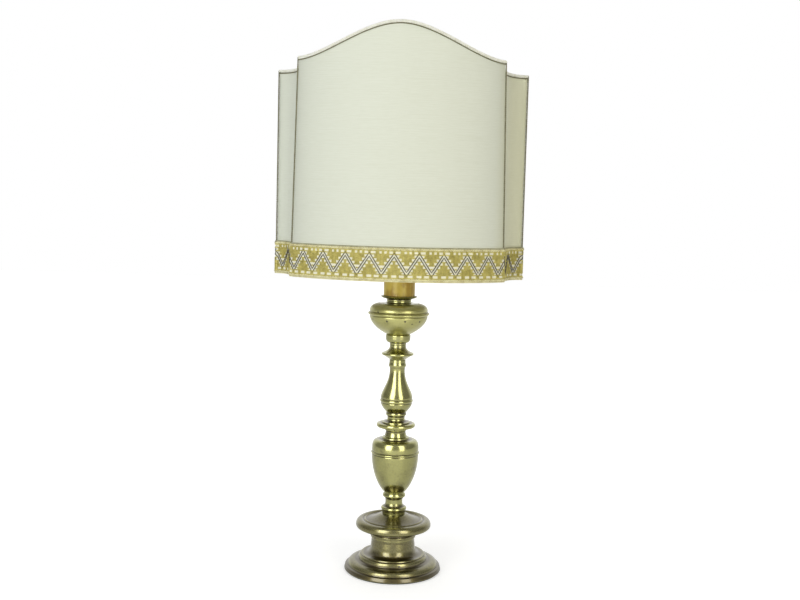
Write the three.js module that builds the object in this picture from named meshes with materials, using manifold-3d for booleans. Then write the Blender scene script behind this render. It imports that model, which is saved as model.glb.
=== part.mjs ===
// Torchere table lamp: a turned bronze candlestick wired with a mock candle and a shaped silk shade.
// Millimetres, +Z up. The origin is the centre of the felt under the foot, and the shade's front faces -Y.
import * as THREE from "three";
import { mergeVertices } from "three/addons/utils/BufferGeometryUtils.js";
import Module from "manifold-3d";

const wasm = await Module();
wasm.setup();

// Fits
const seatGap = 0.1; // between turned pieces that stand on each other
const slipGap = 0.3; // around and between pieces that slide, turn or lie against each other
const boreSlack = 0.4; // around the tie tube, all the way up the column

// Facets
const turnedSides = 20;
const smallSides = 12;
const curveSteps = 3; // chords in each curve of a turned outline

// Tie tube, which clamps the column together and carries the lead
const tube = { radius: 5, bore: 3.6, tailBelowNut: 5, intoCap: 9 };

// Spigot on top of each column piece, and the recess for it in the piece above
const spigot = { wall: 2.6, height: 2.4 };

const felt = { thickness: 1.5, inset: 2.2 };

// Column pieces from the floor up: radii, and the rise of each moulding above the one before it
const foot = {
  rimRadius: 62.7,
  rimRound: 1,
  bandRise: 3.4,
  bandTaper: 0.9,
  bandRound: 1.2,
  ledgeRadius: 58.2,
  ledgeRise: 0.5,
  lowerOvoloRadius: 47.4,
  lowerOvoloRise: 6.8,
  stepIn: 3,
  stepRise: 0.8,
  upperOvoloRadius: 40.9,
  upperOvoloRise: 5.7,
  filletRise: 1.4,
  drumBottomRadius: 36.8,
  flareRise: 11.2,
  flareRadius: 28.6,
  waistRadius: 27.8,
  waistRise: 7,
  drumTopRadius: 28.2,
  drumTopRise: 4,
  wall: 5.6,
  coreRadius: 23.6,
  coreRise: 24,
  webThickness: 5.8,
};
const tray = {
  bandRadius: 29.4,
  bandRise: 4.2,
  grooveRadius: 28.4,
  grooveRise: 0.6,
  scotiaRadius: 40.5,
  scotiaRise: 6.2,
  rimRadius: 48.7,
  rimLowerRise: 4.2,
  rimUpperRise: 7.5,
  rimTopRadius: 41.2,
  grooveInnerRadius: 38.6,
  grooveDepth: 1,
  lipRadius: 36.8,
  lipRise: 1.6,
  dishRadius: 35.4,
  dishDip: 1.2,
  coneRadius: 17,
  coneRise: 7.4,
  coneStart: { out: -7, up: 1.2 },
  coneEnd: { out: 5, down: 3.2 },
};
const lowerKnop = {
  seatRadius: 14.8,
  coveRise: 5.6,
  ringRadius: 15.4,
  ringReach: 1.2,
  ringRise: 4.2,
  waistRadius: 11.2,
  waistFall: 6.4,
  waistClimb: 6.6,
  capRadius: 14.1,
  beadReach: 0.8,
  beadRise: 4,
  neckRadius: 13.5,
  neckRise: 1.2,
};
const vase = {
  seatRadius: 13.5,
  seatRise: 1,
  bowlRadius: 30.3,
  bowlRise: 50,
  bowlFoot: { out: 7.5, up: 7 },
  bowlBelly: { out: 0.1, down: 24.4 },
  quirk: 0.5,
  quirkRise: 0.6,
  beadReach: 1.6,
  beadRise: 3.2,
  shoulderRadius: 23,
  shoulderRise: 14.8,
  shoulderStart: { out: 0.2, up: 10.2 },
  shoulderEnd: { out: 6.4, down: 0.6 },
  coveRadius: 17.5,
  coveRise: 1.4,
  ringRise: 1.6,
  topRadius: 15.6,
  topRise: 0.6,
};
const midCollar = {
  seatRadius: 14.4,
  neckRadius: 13.2,
  neckCoveRise: 2.4,
  neckRise: 6,
  filletRadius: 14.2,
  filletRise: 2.2,
  undersideRadius: 22.4,
  undersideRise: 1.6,
  discRadius: 25,
  discLowerRise: 2.8,
  discUpperRise: 2.8,
  discTopRadius: 22.2,
  stepRadius: 18.2,
  stepSeat: 0.3,
  stepRise: 1.5,
  coneRadius: 11.3,
  coneRise: 3.6,
};
const baluster = {
  seatRadius: 11.3,
  seatRise: 1.4,
  spoolRadius: 13.2,
  spoolFlare: 3.2,
  spoolRise: 2.6,
  grooveRadius: 12.6,
  grooveRise: 0.8,
  bellyRadius: 20.4,
  bellyRise: 12.6,
  bellyFoot: { out: 2.4, up: 3.2 },
  bellyTop: { out: -1, down: 5.6 },
  quirk: 0.5,
  quirkRise: 0.6,
  bandReach: 1.4,
  bandRise: 5,
  neckRadius: 9.8,
  neckClimb: 35.6,
  bellyHandle: { out: 0.3, up: 9.2 },
  neckHandle: { out: 0.2, down: 16.5 },
  collarRise: 4.6,
  beadRadius: 10.5,
  beadReach: 0.8,
  beadRise: 5.2,
  topRise: 4.2,
};
const upperCollar = {
  seatRadius: 10.5,
  seatRise: 0.6,
  undersideRadius: 18.6,
  undersideRise: 5.3,
  discRadius: 20.6,
  discLowerRise: 1.8,
  discUpperRise: 1.6,
  discTopRadius: 19,
  coneRadius: 10.5,
  coneRise: 7.1,
  topRise: 3,
};
const upperKnop = {
  seatRadius: 10.6,
  seatRise: 2.6,
  cupFootRadius: 14.8,
  cupFlare: 4.4,
  cupRadius: 16.2,
  cupRise: 5.6,
  grooveRadius: 14.5,
  grooveRise: 0.8,
  bowlRadius: 37.2,
  bowlRise: 23.6,
  bowlFoot: { out: 11, up: 5.2 },
  bowlBelly: { out: -1.3, down: 10.3 },
  quirk: 0.6,
  quirkRise: 0.8,
  beadReach: 2.8,
  beadRise: 5,
  domeRadius: 21,
  domeRise: 10.3,
  domeStart: { out: 0.4, up: 7 },
  domeEnd: { out: 11, down: 0.5 },
  neckRadius: 15.7,
  neckRise: 2.3,
};
const dripPan = {
  seatRadius: 15.8,
  neckRise: 2.4,
  undersideRadius: 22.8,
  undersideRise: 2.2,
  rimRadius: 24,
  rimRise: 1.6,
  rimThickness: 1.8,
  gutterDepth: 0.6,
  floorMargin: 0.8,
  floorRise: 1.2,
};

// Mock candle and lampholder
const sleeve = { radius: 20, wall: 1.7, height: 65 };
const nut = { flats: 17, thickness: 5, washerRadius: 15, washerThickness: 2 };
const capNut = { flats: 17, thickness: 4, washerRadius: 14, washerThickness: 1.5 };
const holder = {
  wall: 1.5,
  skirtBelowFlange: 14,
  flangeReach: 2.5,
  flangeThickness: 2.5,
  threadRadius: 19.4,
  threadLength: 15.4,
  shellRadius: 13.8,
  capHeight: 19,
  bossRadius: 8.5,
  bossHeight: 3.5,
  insertHeight: 9,
};
const contact = { width: 6, thickness: 0.8, reach: 7, rise: 2.2 };
const ringNut = { reach: 6.6, thickness: 6 };

// Screw-cap bulb
const bulb = {
  capRadius: 13.1,
  capLength: 22.6,
  capWall: 1,
  insulatorRadius: 9.4,
  insulatorHeight: 3.2,
  tipRadius: 4.6,
  tipHeight: 1.4,
  neckRadius: 14,
  neckRise: 8,
  globeRadius: 30,
  globeCentre: 47,
  glassWall: 1,
};

// Bush for the lead, through the back of the foot
const cableBush = {
  level: 12,
  radius: 4.2,
  bore: 3,
  flangeRadius: 5.2,
  flangeThickness: 2,
  seatInset: 11.2, // in from the foot's rim
  reach: 10.5,
};

// Shade: a curved front and back, coved corners and flat sides, on a welded wire frame
const shade = {
  ringDrop: 39, // the fitter ring stands this far above the hem
  frontRadius: 190,
  frontCentre: 34, // the front's arc is centred this far behind the lamp's axis
  frontHalfAngle: 40.8, // degrees, at the hem
  frontLean: 5.2, // the front's upright edges draw in this much towards the top
  coveWidth: 24.6,
  coveDepth: 50.2,
  sideHeight: 242.6,
  frontCornerRise: 10,
  crownRise: 37.6,
  crownHandle: 40,
  cornerHandle: 34,
  cloth: 1,
};
const arcSteps = 12; // chords across the front
const coveSteps = 5; // chords round each coved corner
const lace = { height: 40, thickness: 2, overhang: 0.5 };
const braid = { width: 4.4, height: 2.4 };
const piping = { radius: 1.1 };
const wire = { radius: 1.6, inFromEdge: 4 };
const fitter = { reach: 9.6, thickness: 2 };
const arm = { radius: 1.8 };

// Finishes; each piece makes its own material from one of them
function finish(color, roughness, metalness) {
  return { color, roughness, metalness };
}
const bronze = finish(0x7d6c36, 0.35, 1);
const steel = finish(0x9a9a96, 0.45, 1);
const brass = finish(0xb59a4a, 0.35, 1);
const feltCloth = finish(0x3c4a34, 0.95, 0);
const candleWax = finish(0xb58d3c, 0.5, 0);
const bakelite = finish(0x1d1916, 0.4, 0);
const porcelain = finish(0xe8e4da, 0.35, 0);
const capMetal = finish(0xb9b7ae, 0.35, 1);
const opalGlass = finish(0xf2efe6, 0.2, 0);
const silk = finish(0xd9d8c4, 0.85, 0);
const goldBraid = finish(0xa68f3e, 0.6, 0.3);
const whiteWire = finish(0xe6e3da, 0.5, 0.2);

// Each piece is one closed solid in its own named mesh
function piece(name, geometry, surface, level = 0) {
  const mesh = new THREE.Mesh(geometry, new THREE.MeshStandardMaterial(surface));
  mesh.name = name;
  mesh.position.z = level;
  return mesh;
}

// Outline of a turned piece, drawn upwards from its seat as a lathe tool would follow it.
// Each moulding is given by the radius it ends at and the height it climbs.
class Turning {
  constructor(radius) {
    this.path = new THREE.Path().moveTo(radius, 0);
    this.radius = radius;
    this.height = 0;
  }
  end(radius, rise) {
    this.radius = radius;
    this.height += rise;
    return this;
  }
  line(radius, rise) {
    this.path.lineTo(radius, this.height + rise);
    return this.end(radius, rise);
  }
  // Convex quarter, such as an ovolo
  swell(radius, rise) {
    const top = this.height + rise;
    this.path.quadraticCurveTo(
      Math.max(this.radius, radius), radius < this.radius ? top : this.height, radius, top);
    return this.end(radius, rise);
  }
  // Concave quarter, such as a cove
  hollow(radius, rise) {
    const top = this.height + rise;
    this.path.quadraticCurveTo(
      Math.min(this.radius, radius), radius < this.radius ? this.height : top, radius, top);
    return this.end(radius, rise);
  }
  // Half round that stands out by its reach and comes back to the same radius
  bead(reach, rise) {
    const top = this.height + rise;
    this.path.quadraticCurveTo(this.radius + 2 * reach, this.height + rise / 2, this.radius, top);
    return this.end(this.radius, rise);
  }
  // Long curve, such as a bowl or a pear, steered by a handle at each end
  sweep(radius, rise, start, finish) {
    const top = this.height + rise;
    this.path.bezierCurveTo(this.radius + start.out, this.height + start.up,
      radius + finish.out, top - finish.down, radius, top);
    return this.end(radius, rise);
  }
}

// Solid of revolution about Z from the points of a closed outline
function lathe(points, sides) {
  const turned = new THREE.LatheGeometry([...points, points[0]], sides).rotateX(Math.PI / 2);
  return mergeVertices(stripped(turned));
}
function stripped(geometry) {
  geometry.deleteAttribute("normal");
  geometry.deleteAttribute("uv");
  return geometry;
}
function ring(inner, outer, height, sides) {
  const corners = [[inner, 0], [outer, 0], [outer, height], [inner, height]];
  return lathe(corners.map(([radius, z]) => new THREE.Vector2(radius, z)), sides);
}

const boreRadius = tube.radius + boreSlack;
const spigotRadius = boreRadius + spigot.wall;
const recessRadius = spigotRadius + slipGap;
const recessDepth = spigot.height + slipGap;

// A column piece: its outline, a spigot on top, the bore, and the recess that takes the spigot below it
function columnPiece(turning, { topSpigot = true, core = recessCore() } = {}) {
  const points = turning.path.getPoints(curveSteps);
  const top = turning.height;
  if (topSpigot) {
    points.push(new THREE.Vector2(spigotRadius, top));
    points.push(new THREE.Vector2(spigotRadius, top + spigot.height));
    points.push(new THREE.Vector2(boreRadius, top + spigot.height));
  } else {
    points.push(new THREE.Vector2(boreRadius, top));
  }
  points.push(...core);
  return lathe(points, turnedSides);
}
function recessCore() {
  return [
    new THREE.Vector2(boreRadius, recessDepth),
    new THREE.Vector2(recessRadius, recessDepth),
    new THREE.Vector2(recessRadius, 0),
  ];
}

function footTurning() {
  return new Turning(foot.rimRadius - foot.rimRound)
    .swell(foot.rimRadius, foot.rimRound)
    .line(foot.rimRadius - foot.bandTaper, foot.bandRise)
    .swell(foot.rimRadius - foot.bandTaper - foot.bandRound, foot.bandRound)
    .line(foot.ledgeRadius, foot.ledgeRise)
    .swell(foot.lowerOvoloRadius, foot.lowerOvoloRise)
    .line(foot.lowerOvoloRadius - foot.stepIn, foot.stepRise)
    .swell(foot.upperOvoloRadius, foot.upperOvoloRise)
    .line(foot.upperOvoloRadius, foot.filletRise)
    .line(foot.drumBottomRadius, 0)
    .hollow(foot.flareRadius, foot.flareRise)
    .line(foot.waistRadius, foot.waistRise)
    .line(foot.drumTopRadius, foot.drumTopRise);
}
// The foot is cored out underneath, from the rim up to the web that the tie tube's nut pulls against
function footCore(turning) {
  const web = turning.height - foot.webThickness;
  return [
    new THREE.Vector2(boreRadius, web),
    new THREE.Vector2(foot.coreRadius, web),
    new THREE.Vector2(foot.coreRadius, foot.coreRise),
    new THREE.Vector2(foot.rimRadius - foot.wall, 0),
  ];
}
function trayTurning() {
  return new Turning(tray.bandRadius)
    .line(tray.bandRadius, tray.bandRise)
    .line(tray.grooveRadius, tray.grooveRise)
    .hollow(tray.scotiaRadius, tray.scotiaRise)
    .swell(tray.rimRadius, tray.rimLowerRise)
    .swell(tray.rimTopRadius, tray.rimUpperRise)
    .line(tray.grooveInnerRadius, -tray.grooveDepth)
    .line(tray.lipRadius, tray.lipRise)
    .line(tray.dishRadius, -tray.dishDip)
    .sweep(tray.coneRadius, tray.coneRise, tray.coneStart, tray.coneEnd);
}
function lowerKnopTurning() {
  return new Turning(lowerKnop.seatRadius)
    .hollow(lowerKnop.ringRadius, lowerKnop.coveRise)
    .bead(lowerKnop.ringReach, lowerKnop.ringRise)
    .hollow(lowerKnop.waistRadius, lowerKnop.waistFall)
    .hollow(lowerKnop.capRadius, lowerKnop.waistClimb)
    .bead(lowerKnop.beadReach, lowerKnop.beadRise)
    .line(lowerKnop.neckRadius, lowerKnop.neckRise);
}
function vaseTurning() {
  return new Turning(vase.seatRadius)
    .line(vase.seatRadius, vase.seatRise)
    .sweep(vase.bowlRadius, vase.bowlRise, vase.bowlFoot, vase.bowlBelly)
    .line(vase.bowlRadius - vase.quirk, vase.quirkRise)
    .bead(vase.beadReach, vase.beadRise)
    .line(vase.bowlRadius, vase.quirkRise)
    .sweep(vase.shoulderRadius, vase.shoulderRise, vase.shoulderStart, vase.shoulderEnd)
    .hollow(vase.coveRadius, vase.coveRise)
    .line(vase.coveRadius, vase.ringRise)
    .line(vase.topRadius, vase.topRise);
}
function midCollarTurning() {
  return new Turning(midCollar.seatRadius)
    .hollow(midCollar.neckRadius, midCollar.neckCoveRise)
    .line(midCollar.neckRadius, midCollar.neckRise)
    .line(midCollar.filletRadius, 0)
    .line(midCollar.filletRadius, midCollar.filletRise)
    .hollow(midCollar.undersideRadius, midCollar.undersideRise)
    .swell(midCollar.discRadius, midCollar.discLowerRise)
    .swell(midCollar.discTopRadius, midCollar.discUpperRise)
    .line(midCollar.stepRadius, midCollar.stepSeat)
    .line(midCollar.stepRadius, midCollar.stepRise)
    .hollow(midCollar.coneRadius, midCollar.coneRise);
}
function balusterTurning() {
  return new Turning(baluster.seatRadius)
    .line(baluster.seatRadius, baluster.seatRise)
    .hollow(baluster.spoolRadius, baluster.spoolFlare)
    .line(baluster.spoolRadius, baluster.spoolRise)
    .line(baluster.grooveRadius, baluster.grooveRise)
    .sweep(baluster.bellyRadius, baluster.bellyRise, baluster.bellyFoot, baluster.bellyTop)
    .line(baluster.bellyRadius - baluster.quirk, baluster.quirkRise)
    .bead(baluster.bandReach, baluster.bandRise)
    .line(baluster.bellyRadius, baluster.quirkRise)
    .sweep(baluster.neckRadius, baluster.neckClimb, baluster.bellyHandle, baluster.neckHandle)
    .hollow(baluster.beadRadius, baluster.collarRise)
    .bead(baluster.beadReach, baluster.beadRise)
    .line(baluster.beadRadius, baluster.topRise);
}
function upperCollarTurning() {
  return new Turning(upperCollar.seatRadius)
    .line(upperCollar.seatRadius, upperCollar.seatRise)
    .line(upperCollar.undersideRadius, upperCollar.undersideRise)
    .swell(upperCollar.discRadius, upperCollar.discLowerRise)
    .swell(upperCollar.discTopRadius, upperCollar.discUpperRise)
    .line(upperCollar.coneRadius, upperCollar.coneRise)
    .line(upperCollar.coneRadius, upperCollar.topRise);
}
function upperKnopTurning() {
  return new Turning(upperKnop.seatRadius)
    .line(upperKnop.seatRadius, upperKnop.seatRise)
    .swell(upperKnop.cupFootRadius, upperKnop.cupFlare)
    .line(upperKnop.cupRadius, upperKnop.cupRise)
    .line(upperKnop.grooveRadius, upperKnop.grooveRise)
    .sweep(upperKnop.bowlRadius, upperKnop.bowlRise, upperKnop.bowlFoot, upperKnop.bowlBelly)
    .line(upperKnop.bowlRadius - upperKnop.quirk, upperKnop.quirkRise)
    .bead(upperKnop.beadReach, upperKnop.beadRise)
    .line(upperKnop.bowlRadius, upperKnop.quirkRise)
    .sweep(upperKnop.domeRadius, upperKnop.domeRise, upperKnop.domeStart, upperKnop.domeEnd)
    .hollow(upperKnop.neckRadius, upperKnop.neckRise);
}
function dripPanTurning() {
  const floorRadius = sleeve.radius + dripPan.floorMargin;
  return new Turning(dripPan.seatRadius)
    .line(dripPan.seatRadius, dripPan.neckRise)
    .line(dripPan.undersideRadius, dripPan.undersideRise)
    .line(dripPan.rimRadius, dripPan.rimRise)
    .line(dripPan.rimRadius - dripPan.rimThickness, -dripPan.gutterDepth)
    .line(floorRadius, dripPan.floorRise);
}

// The column stands on the felt; each piece's level is the top of the one below
const stand = new THREE.Group();
const feltRadius = foot.rimRadius - felt.inset;
const bushSeat = foot.rimRadius - cableBush.seatInset;
stand.add(piece("felt_pad", ring(0, feltRadius, felt.thickness, turnedSides), feltCloth));

let level = felt.thickness;
const footOutline = footTurning();
const webLevel = level + footOutline.height - foot.webThickness;
stand.add(piece("foot", footSolid(footOutline), bronze, level));
level += footOutline.height + seatGap;

const column = [
  ["drip_tray", trayTurning()],
  ["lower_knop", lowerKnopTurning()],
  ["vase", vaseTurning()],
  ["mid_collar", midCollarTurning()],
  ["baluster", balusterTurning()],
  ["upper_collar", upperCollarTurning()],
  ["upper_knop", upperKnopTurning()],
];
for (const [name, turning] of column) {
  stand.add(piece(name, columnPiece(turning), bronze, level));
  level += turning.height + seatGap;
}
const panOutline = dripPanTurning();
stand.add(piece("drip_pan", columnPiece(panOutline, { topSpigot: false }), bronze, level));
level += panOutline.height;
const panFloor = level;

// A hole and a spot face at the back of the foot take the bush for the lead
function footSolid(turning) {
  const up = cableBush.level - felt.thickness;
  const outside = foot.rimRadius + foot.wall;
  const hole = cylinderAlongY(cableBush.radius + slipGap, 0, outside).translate(0, 0, up);
  const spotFace = cylinderAlongY(cableBush.flangeRadius + slipGap, bushSeat, outside);
  const cored = solidOf(columnPiece(turning, { core: footCore(turning) }));
  return geometryOf(cored.subtract(solidOf(hole)).subtract(solidOf(spotFace.translate(0, 0, up))));
}
function cylinderAlongY(radius, from, to) {
  const cylinder = new THREE.CylinderGeometry(radius, radius, to - from, smallSides);
  return cylinder.translate(0, (from + to) / 2, 0);
}
function bushGeometry() {
  const inner = bushSeat - cableBush.reach;
  const seat = bushSeat + slipGap;
  const outline = [
    [cableBush.bore, inner],
    [cableBush.radius, inner],
    [cableBush.radius, seat],
    [cableBush.flangeRadius, seat],
    [cableBush.flangeRadius, seat + cableBush.flangeThickness],
    [cableBush.bore, seat + cableBush.flangeThickness],
  ];
  const bush = lathe(outline.map(([radius, along]) => new THREE.Vector2(radius, along)), smallSides);
  return bush.rotateX(-Math.PI / 2);
}
stand.add(piece("cable_bush", bushGeometry(), bakelite, cableBush.level));

// Booleans, on closed meshes
function solidOf(geometry) {
  const merged = mergeVertices(stripped(geometry.index ? geometry : mergeVertices(geometry)));
  const vertProperties = new Float32Array(merged.attributes.position.array);
  const triVerts = new Uint32Array(merged.index.array);
  return new wasm.Manifold(new wasm.Mesh({ numProp: 3, vertProperties, triVerts }));
}
function geometryOf(solid) {
  const mesh = solid.getMesh();
  const geometry = new THREE.BufferGeometry();
  geometry.setAttribute("position", new THREE.BufferAttribute(mesh.vertProperties, mesh.numProp));
  geometry.setIndex(new THREE.BufferAttribute(mesh.triVerts, 1));
  return geometry;
}

// Hexagon nut with a round bore, as an extruded outline
function hexNut(flats, bore, thickness) {
  const corner = flats / Math.sqrt(3);
  const corners = [0, 1, 2, 3, 4, 5].map((i) => new THREE.Vector2(
    corner * Math.cos((i * Math.PI) / 3), corner * Math.sin((i * Math.PI) / 3)));
  const shape = new THREE.Shape(corners);
  shape.holes.push(new THREE.Path().absarc(0, 0, bore, 0, 2 * Math.PI, true));
  const settings = { depth: thickness, bevelEnabled: false, curveSegments: smallSides };
  return new THREE.ExtrudeGeometry(shape, settings);
}

// Washers and nuts clamp the column between the foot's web and the drip pan's floor
const footWasherLevel = webLevel - seatGap - nut.washerThickness;
const footNutLevel = footWasherLevel - seatGap - nut.thickness;
const washerBore = tube.radius + slipGap;
function washer({ washerRadius, washerThickness }) {
  return ring(washerBore, washerRadius, washerThickness, turnedSides);
}
stand.add(piece("foot_washer", washer(nut), steel, footWasherLevel));
stand.add(piece("foot_nut", hexNut(nut.flats, washerBore, nut.thickness), brass, footNutLevel));
const topWasherLevel = panFloor + seatGap;
const topNutLevel = topWasherLevel + capNut.washerThickness + seatGap;
stand.add(piece("top_washer", washer(capNut), steel, topWasherLevel));
stand.add(piece("top_nut", hexNut(capNut.flats, washerBore, capNut.thickness), brass, topNutLevel));

// Mock candle, and the lampholder that stands inside it on the end of the tie tube
const sleeveLevel = panFloor + seatGap;
const sleeveBore = sleeve.radius - sleeve.wall;
const sleeveTube = ring(sleeveBore, sleeve.radius, sleeve.height, turnedSides);
stand.add(piece("candle_sleeve", sleeveTube, candleWax, sleeveLevel));

const flangeLevel = sleeveLevel + sleeve.height + seatGap;
const skirtLevel = flangeLevel - holder.skirtBelowFlange;
const skirtRadius = sleeveBore - slipGap;
const capLevel = skirtLevel - slipGap - holder.capHeight;
const tubeBottom = footNutLevel - tube.tailBelowNut;
const tubeTop = capLevel + tube.intoCap;
const tieTube = ring(tube.bore, tube.radius, tubeTop - tubeBottom, smallSides);
stand.add(piece("tie_tube", tieTube, steel, tubeBottom));

function holderCap() {
  const radius = skirtRadius;
  const tubeHole = tube.radius + slipGap;
  const outer = new Turning(holder.bossRadius)
    .line(holder.bossRadius, holder.bossHeight)
    .swell(radius, holder.capHeight - holder.bossHeight);
  const inside = new THREE.Path().moveTo(radius - holder.wall, holder.capHeight);
  const floor = holder.bossHeight + holder.wall;
  inside.quadraticCurveTo(radius - holder.wall, floor, holder.bossRadius, floor);
  inside.lineTo(tubeHole, floor);
  inside.lineTo(tubeHole, 0);
  return lathe([...outer.path.getPoints(curveSteps), ...inside.getPoints(curveSteps)], turnedSides);
}
stand.add(piece("holder_cap", holderCap(), brass, capLevel));

function holderSkirt() {
  const flangeRadius = sleeve.radius + holder.flangeReach;
  const flangeBottom = holder.skirtBelowFlange;
  const flangeTop = flangeBottom + holder.flangeThickness;
  const rim = flangeTop + holder.threadLength;
  const outline = [
    [holder.shellRadius, 0],
    [skirtRadius, 0],
    [skirtRadius, flangeBottom],
    [flangeRadius, flangeBottom],
    [flangeRadius, flangeTop],
    [holder.threadRadius, flangeTop],
    [holder.threadRadius, rim],
    [holder.shellRadius, rim],
  ];
  return lathe(outline.map(([radius, z]) => new THREE.Vector2(radius, z)), turnedSides);
}
stand.add(piece("holder_skirt", holderSkirt(), bakelite, skirtLevel));

// Porcelain insert, a plug that carries the centre contact
const insertRadius = holder.shellRadius - slipGap;
const insertPlug = ring(0, insertRadius, holder.insertHeight, smallSides);
stand.add(piece("holder_insert", insertPlug, porcelain, skirtLevel - slipGap));
const contactLevel = skirtLevel + holder.insertHeight;

// Sprung leaf that meets the bulb's tip
function contactLeaf() {
  const leaf = new THREE.Shape();
  const low = contact.thickness;
  const high = contact.rise;
  leaf.moveTo(-contact.reach, 0);
  leaf.lineTo(0, 0);
  leaf.lineTo(contact.reach, high - low);
  leaf.lineTo(contact.reach, high);
  leaf.lineTo(0, low);
  leaf.lineTo(-contact.reach, low);
  const geometry = new THREE.ExtrudeGeometry(leaf, { depth: contact.width, bevelEnabled: false });
  return geometry.translate(-contact.reach / 2, 0, -contact.width / 2).rotateX(Math.PI / 2);
}
stand.add(piece("centre_contact", contactLeaf(), brass, contactLevel));

// The shade's fitter ring lies on the flange, and the ring nut holds it there, free to turn
const fitterLevel = flangeLevel + holder.flangeThickness + slipGap;
const ringNutLevel = fitterLevel + fitter.thickness + slipGap;
const threadBore = holder.threadRadius + slipGap;
const ringNutBody = ring(threadBore, threadBore + ringNut.reach, ringNut.thickness, turnedSides);
stand.add(piece("ring_nut", ringNutBody, bakelite, ringNutLevel));

// Bulb, from its tip up
const bulbGroup = new THREE.Group();
const tipLevel = contactLevel + contact.rise + slipGap;
const insulatorLevel = tipLevel + bulb.tipHeight + seatGap;
const bulbCapLevel = insulatorLevel + bulb.insulatorHeight + seatGap;
const glassLevel = bulbCapLevel + bulb.capLength + slipGap;

function insulatorGeometry() {
  const top = bulb.insulatorHeight;
  const outline = [[0, 0], [bulb.tipRadius, 0], [bulb.insulatorRadius, top], [0, top]];
  return lathe(outline.map(([radius, z]) => new THREE.Vector2(radius, z)), smallSides);
}
function glassGeometry() {
  const tallest = bulb.globeCentre + bulb.globeRadius;
  const outer = new THREE.Path().moveTo(bulb.capRadius, 0);
  outer.lineTo(bulb.neckRadius, bulb.neckRise);
  outer.bezierCurveTo(bulb.neckRadius, bulb.globeCentre - bulb.globeRadius,
    bulb.globeRadius, bulb.globeCentre - bulb.globeRadius / 2, bulb.globeRadius, bulb.globeCentre);
  outer.absarc(0, bulb.globeCentre, bulb.globeRadius, 0, Math.PI / 2, false);
  const globe = bulb.globeRadius - bulb.glassWall;
  const neck = bulb.neckRadius - bulb.glassWall;
  const inner = new THREE.Path().moveTo(0, tallest - bulb.glassWall);
  inner.absarc(0, bulb.globeCentre, globe, Math.PI / 2, 0, true);
  inner.bezierCurveTo(globe, bulb.globeCentre - globe / 2,
    neck, bulb.globeCentre - globe, neck, bulb.neckRise);
  inner.lineTo(bulb.capRadius - bulb.glassWall, 0);
  return lathe([...outer.getPoints(curveSteps), ...inner.getPoints(curveSteps)], smallSides);
}
bulbGroup.add(piece("bulb_tip", ring(0, bulb.tipRadius, bulb.tipHeight, smallSides), capMetal, tipLevel));
bulbGroup.add(piece("bulb_insulator", insulatorGeometry(), bakelite, insulatorLevel));
const bulbCap = ring(bulb.capRadius - bulb.capWall, bulb.capRadius, bulb.capLength, smallSides);
bulbGroup.add(piece("bulb_cap", bulbCap, capMetal, bulbCapLevel));
bulbGroup.add(piece("bulb_glass", glassGeometry(), opalGlass, glassLevel));

// Shade plan. At height z above the hem the front's edge stands at edgeAt(z).
// The side corners are upright.
const shadeGroup = new THREE.Group();
shadeGroup.position.z = fitterLevel - shade.ringDrop;
const cornerHeight = shade.sideHeight + shade.frontCornerRise;
const crownHeight = cornerHeight + shade.crownRise;
const frontAngle = THREE.MathUtils.degToRad(shade.frontHalfAngle);
const frontReach = shade.frontRadius - shade.frontCentre;
const hemHalf = shade.frontRadius * Math.sin(frontAngle);
const hemDepth = shade.frontRadius * Math.cos(frontAngle) - shade.frontCentre;
const sideCorner = new THREE.Vector2(hemHalf + shade.coveWidth, -(hemDepth - shade.coveDepth));

function edgeAt(z) {
  const x = hemHalf - (shade.frontLean * z) / cornerHeight;
  return new THREE.Vector2(x, shade.frontCentre - Math.sqrt(shade.frontRadius ** 2 - x ** 2));
}
// Height of the front's top edge at x, along its serpentine from the crown to the corner
const serpentine = new THREE.CubicBezierCurve(
  new THREE.Vector2(0, crownHeight),
  new THREE.Vector2(shade.crownHandle, crownHeight),
  new THREE.Vector2(edgeAt(cornerHeight).x - shade.cornerHandle, cornerHeight),
  new THREE.Vector2(edgeAt(cornerHeight).x, cornerHeight),
);

// A station on the shade: a point on the cloth's middle surface and its outward direction in plan.
// The direction is longer than 1 at a mitred corner.
function station(x, y, z, out) {
  return { point: new THREE.Vector3(x, y, z), out };
}
function mitre(a, b) {
  const sum = a.clone().add(b);
  return sum.multiplyScalar(2 / sum.lengthSq());
}
const sideOut = new THREE.Vector2(1, 0);
const coveEndOut = new THREE.Vector2(0, -1);
const sideMitre = mitre(sideOut, coveEndOut);
function frontMitre(z) {
  const { x, y } = edgeAt(z);
  const edgeOut = new THREE.Vector2(x, y - shade.frontCentre).divideScalar(shade.frontRadius);
  return mitre(edgeOut, sideOut);
}
// Stations across the front at the share u of its half width, -1 at the left edge and 1 at the right
function frontStation(u, z, zAtEdge = z) {
  const edge = edgeAt(zAtEdge);
  const angle = u * Math.asin(edge.x / shade.frontRadius);
  const out = new THREE.Vector2(Math.sin(angle), -Math.cos(angle));
  return station(shade.frontRadius * out.x, shade.frontCentre + shade.frontRadius * out.y, z, out);
}
// Quarter-ellipse cove from the front's right edge, at share 0, to the side corner, at share 1
function coveStation(share, z) {
  const edge = edgeAt(z);
  const angle = (share * Math.PI) / 2;
  const wide = sideCorner.x - edge.x;
  const deep = sideCorner.y - edge.y;
  const out = new THREE.Vector2(deep * Math.cos(angle), -wide * Math.sin(angle)).normalize();
  return station(sideCorner.x - wide * Math.cos(angle), edge.y + deep * Math.sin(angle), z, out);
}
function turnedRound(stations, quarterX, quarterY) {
  const flipped = stations.map(({ point, out }) => ({
    point: new THREE.Vector3(point.x * quarterX, point.y * quarterY, point.z),
    out: new THREE.Vector2(out.x * quarterX, out.y * quarterY),
  }));
  return quarterX * quarterY < 0 ? flipped.reverse() : flipped;
}
function shares(steps) {
  return Array.from({ length: steps + 1 }, (_, i) => i / steps);
}

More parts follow.
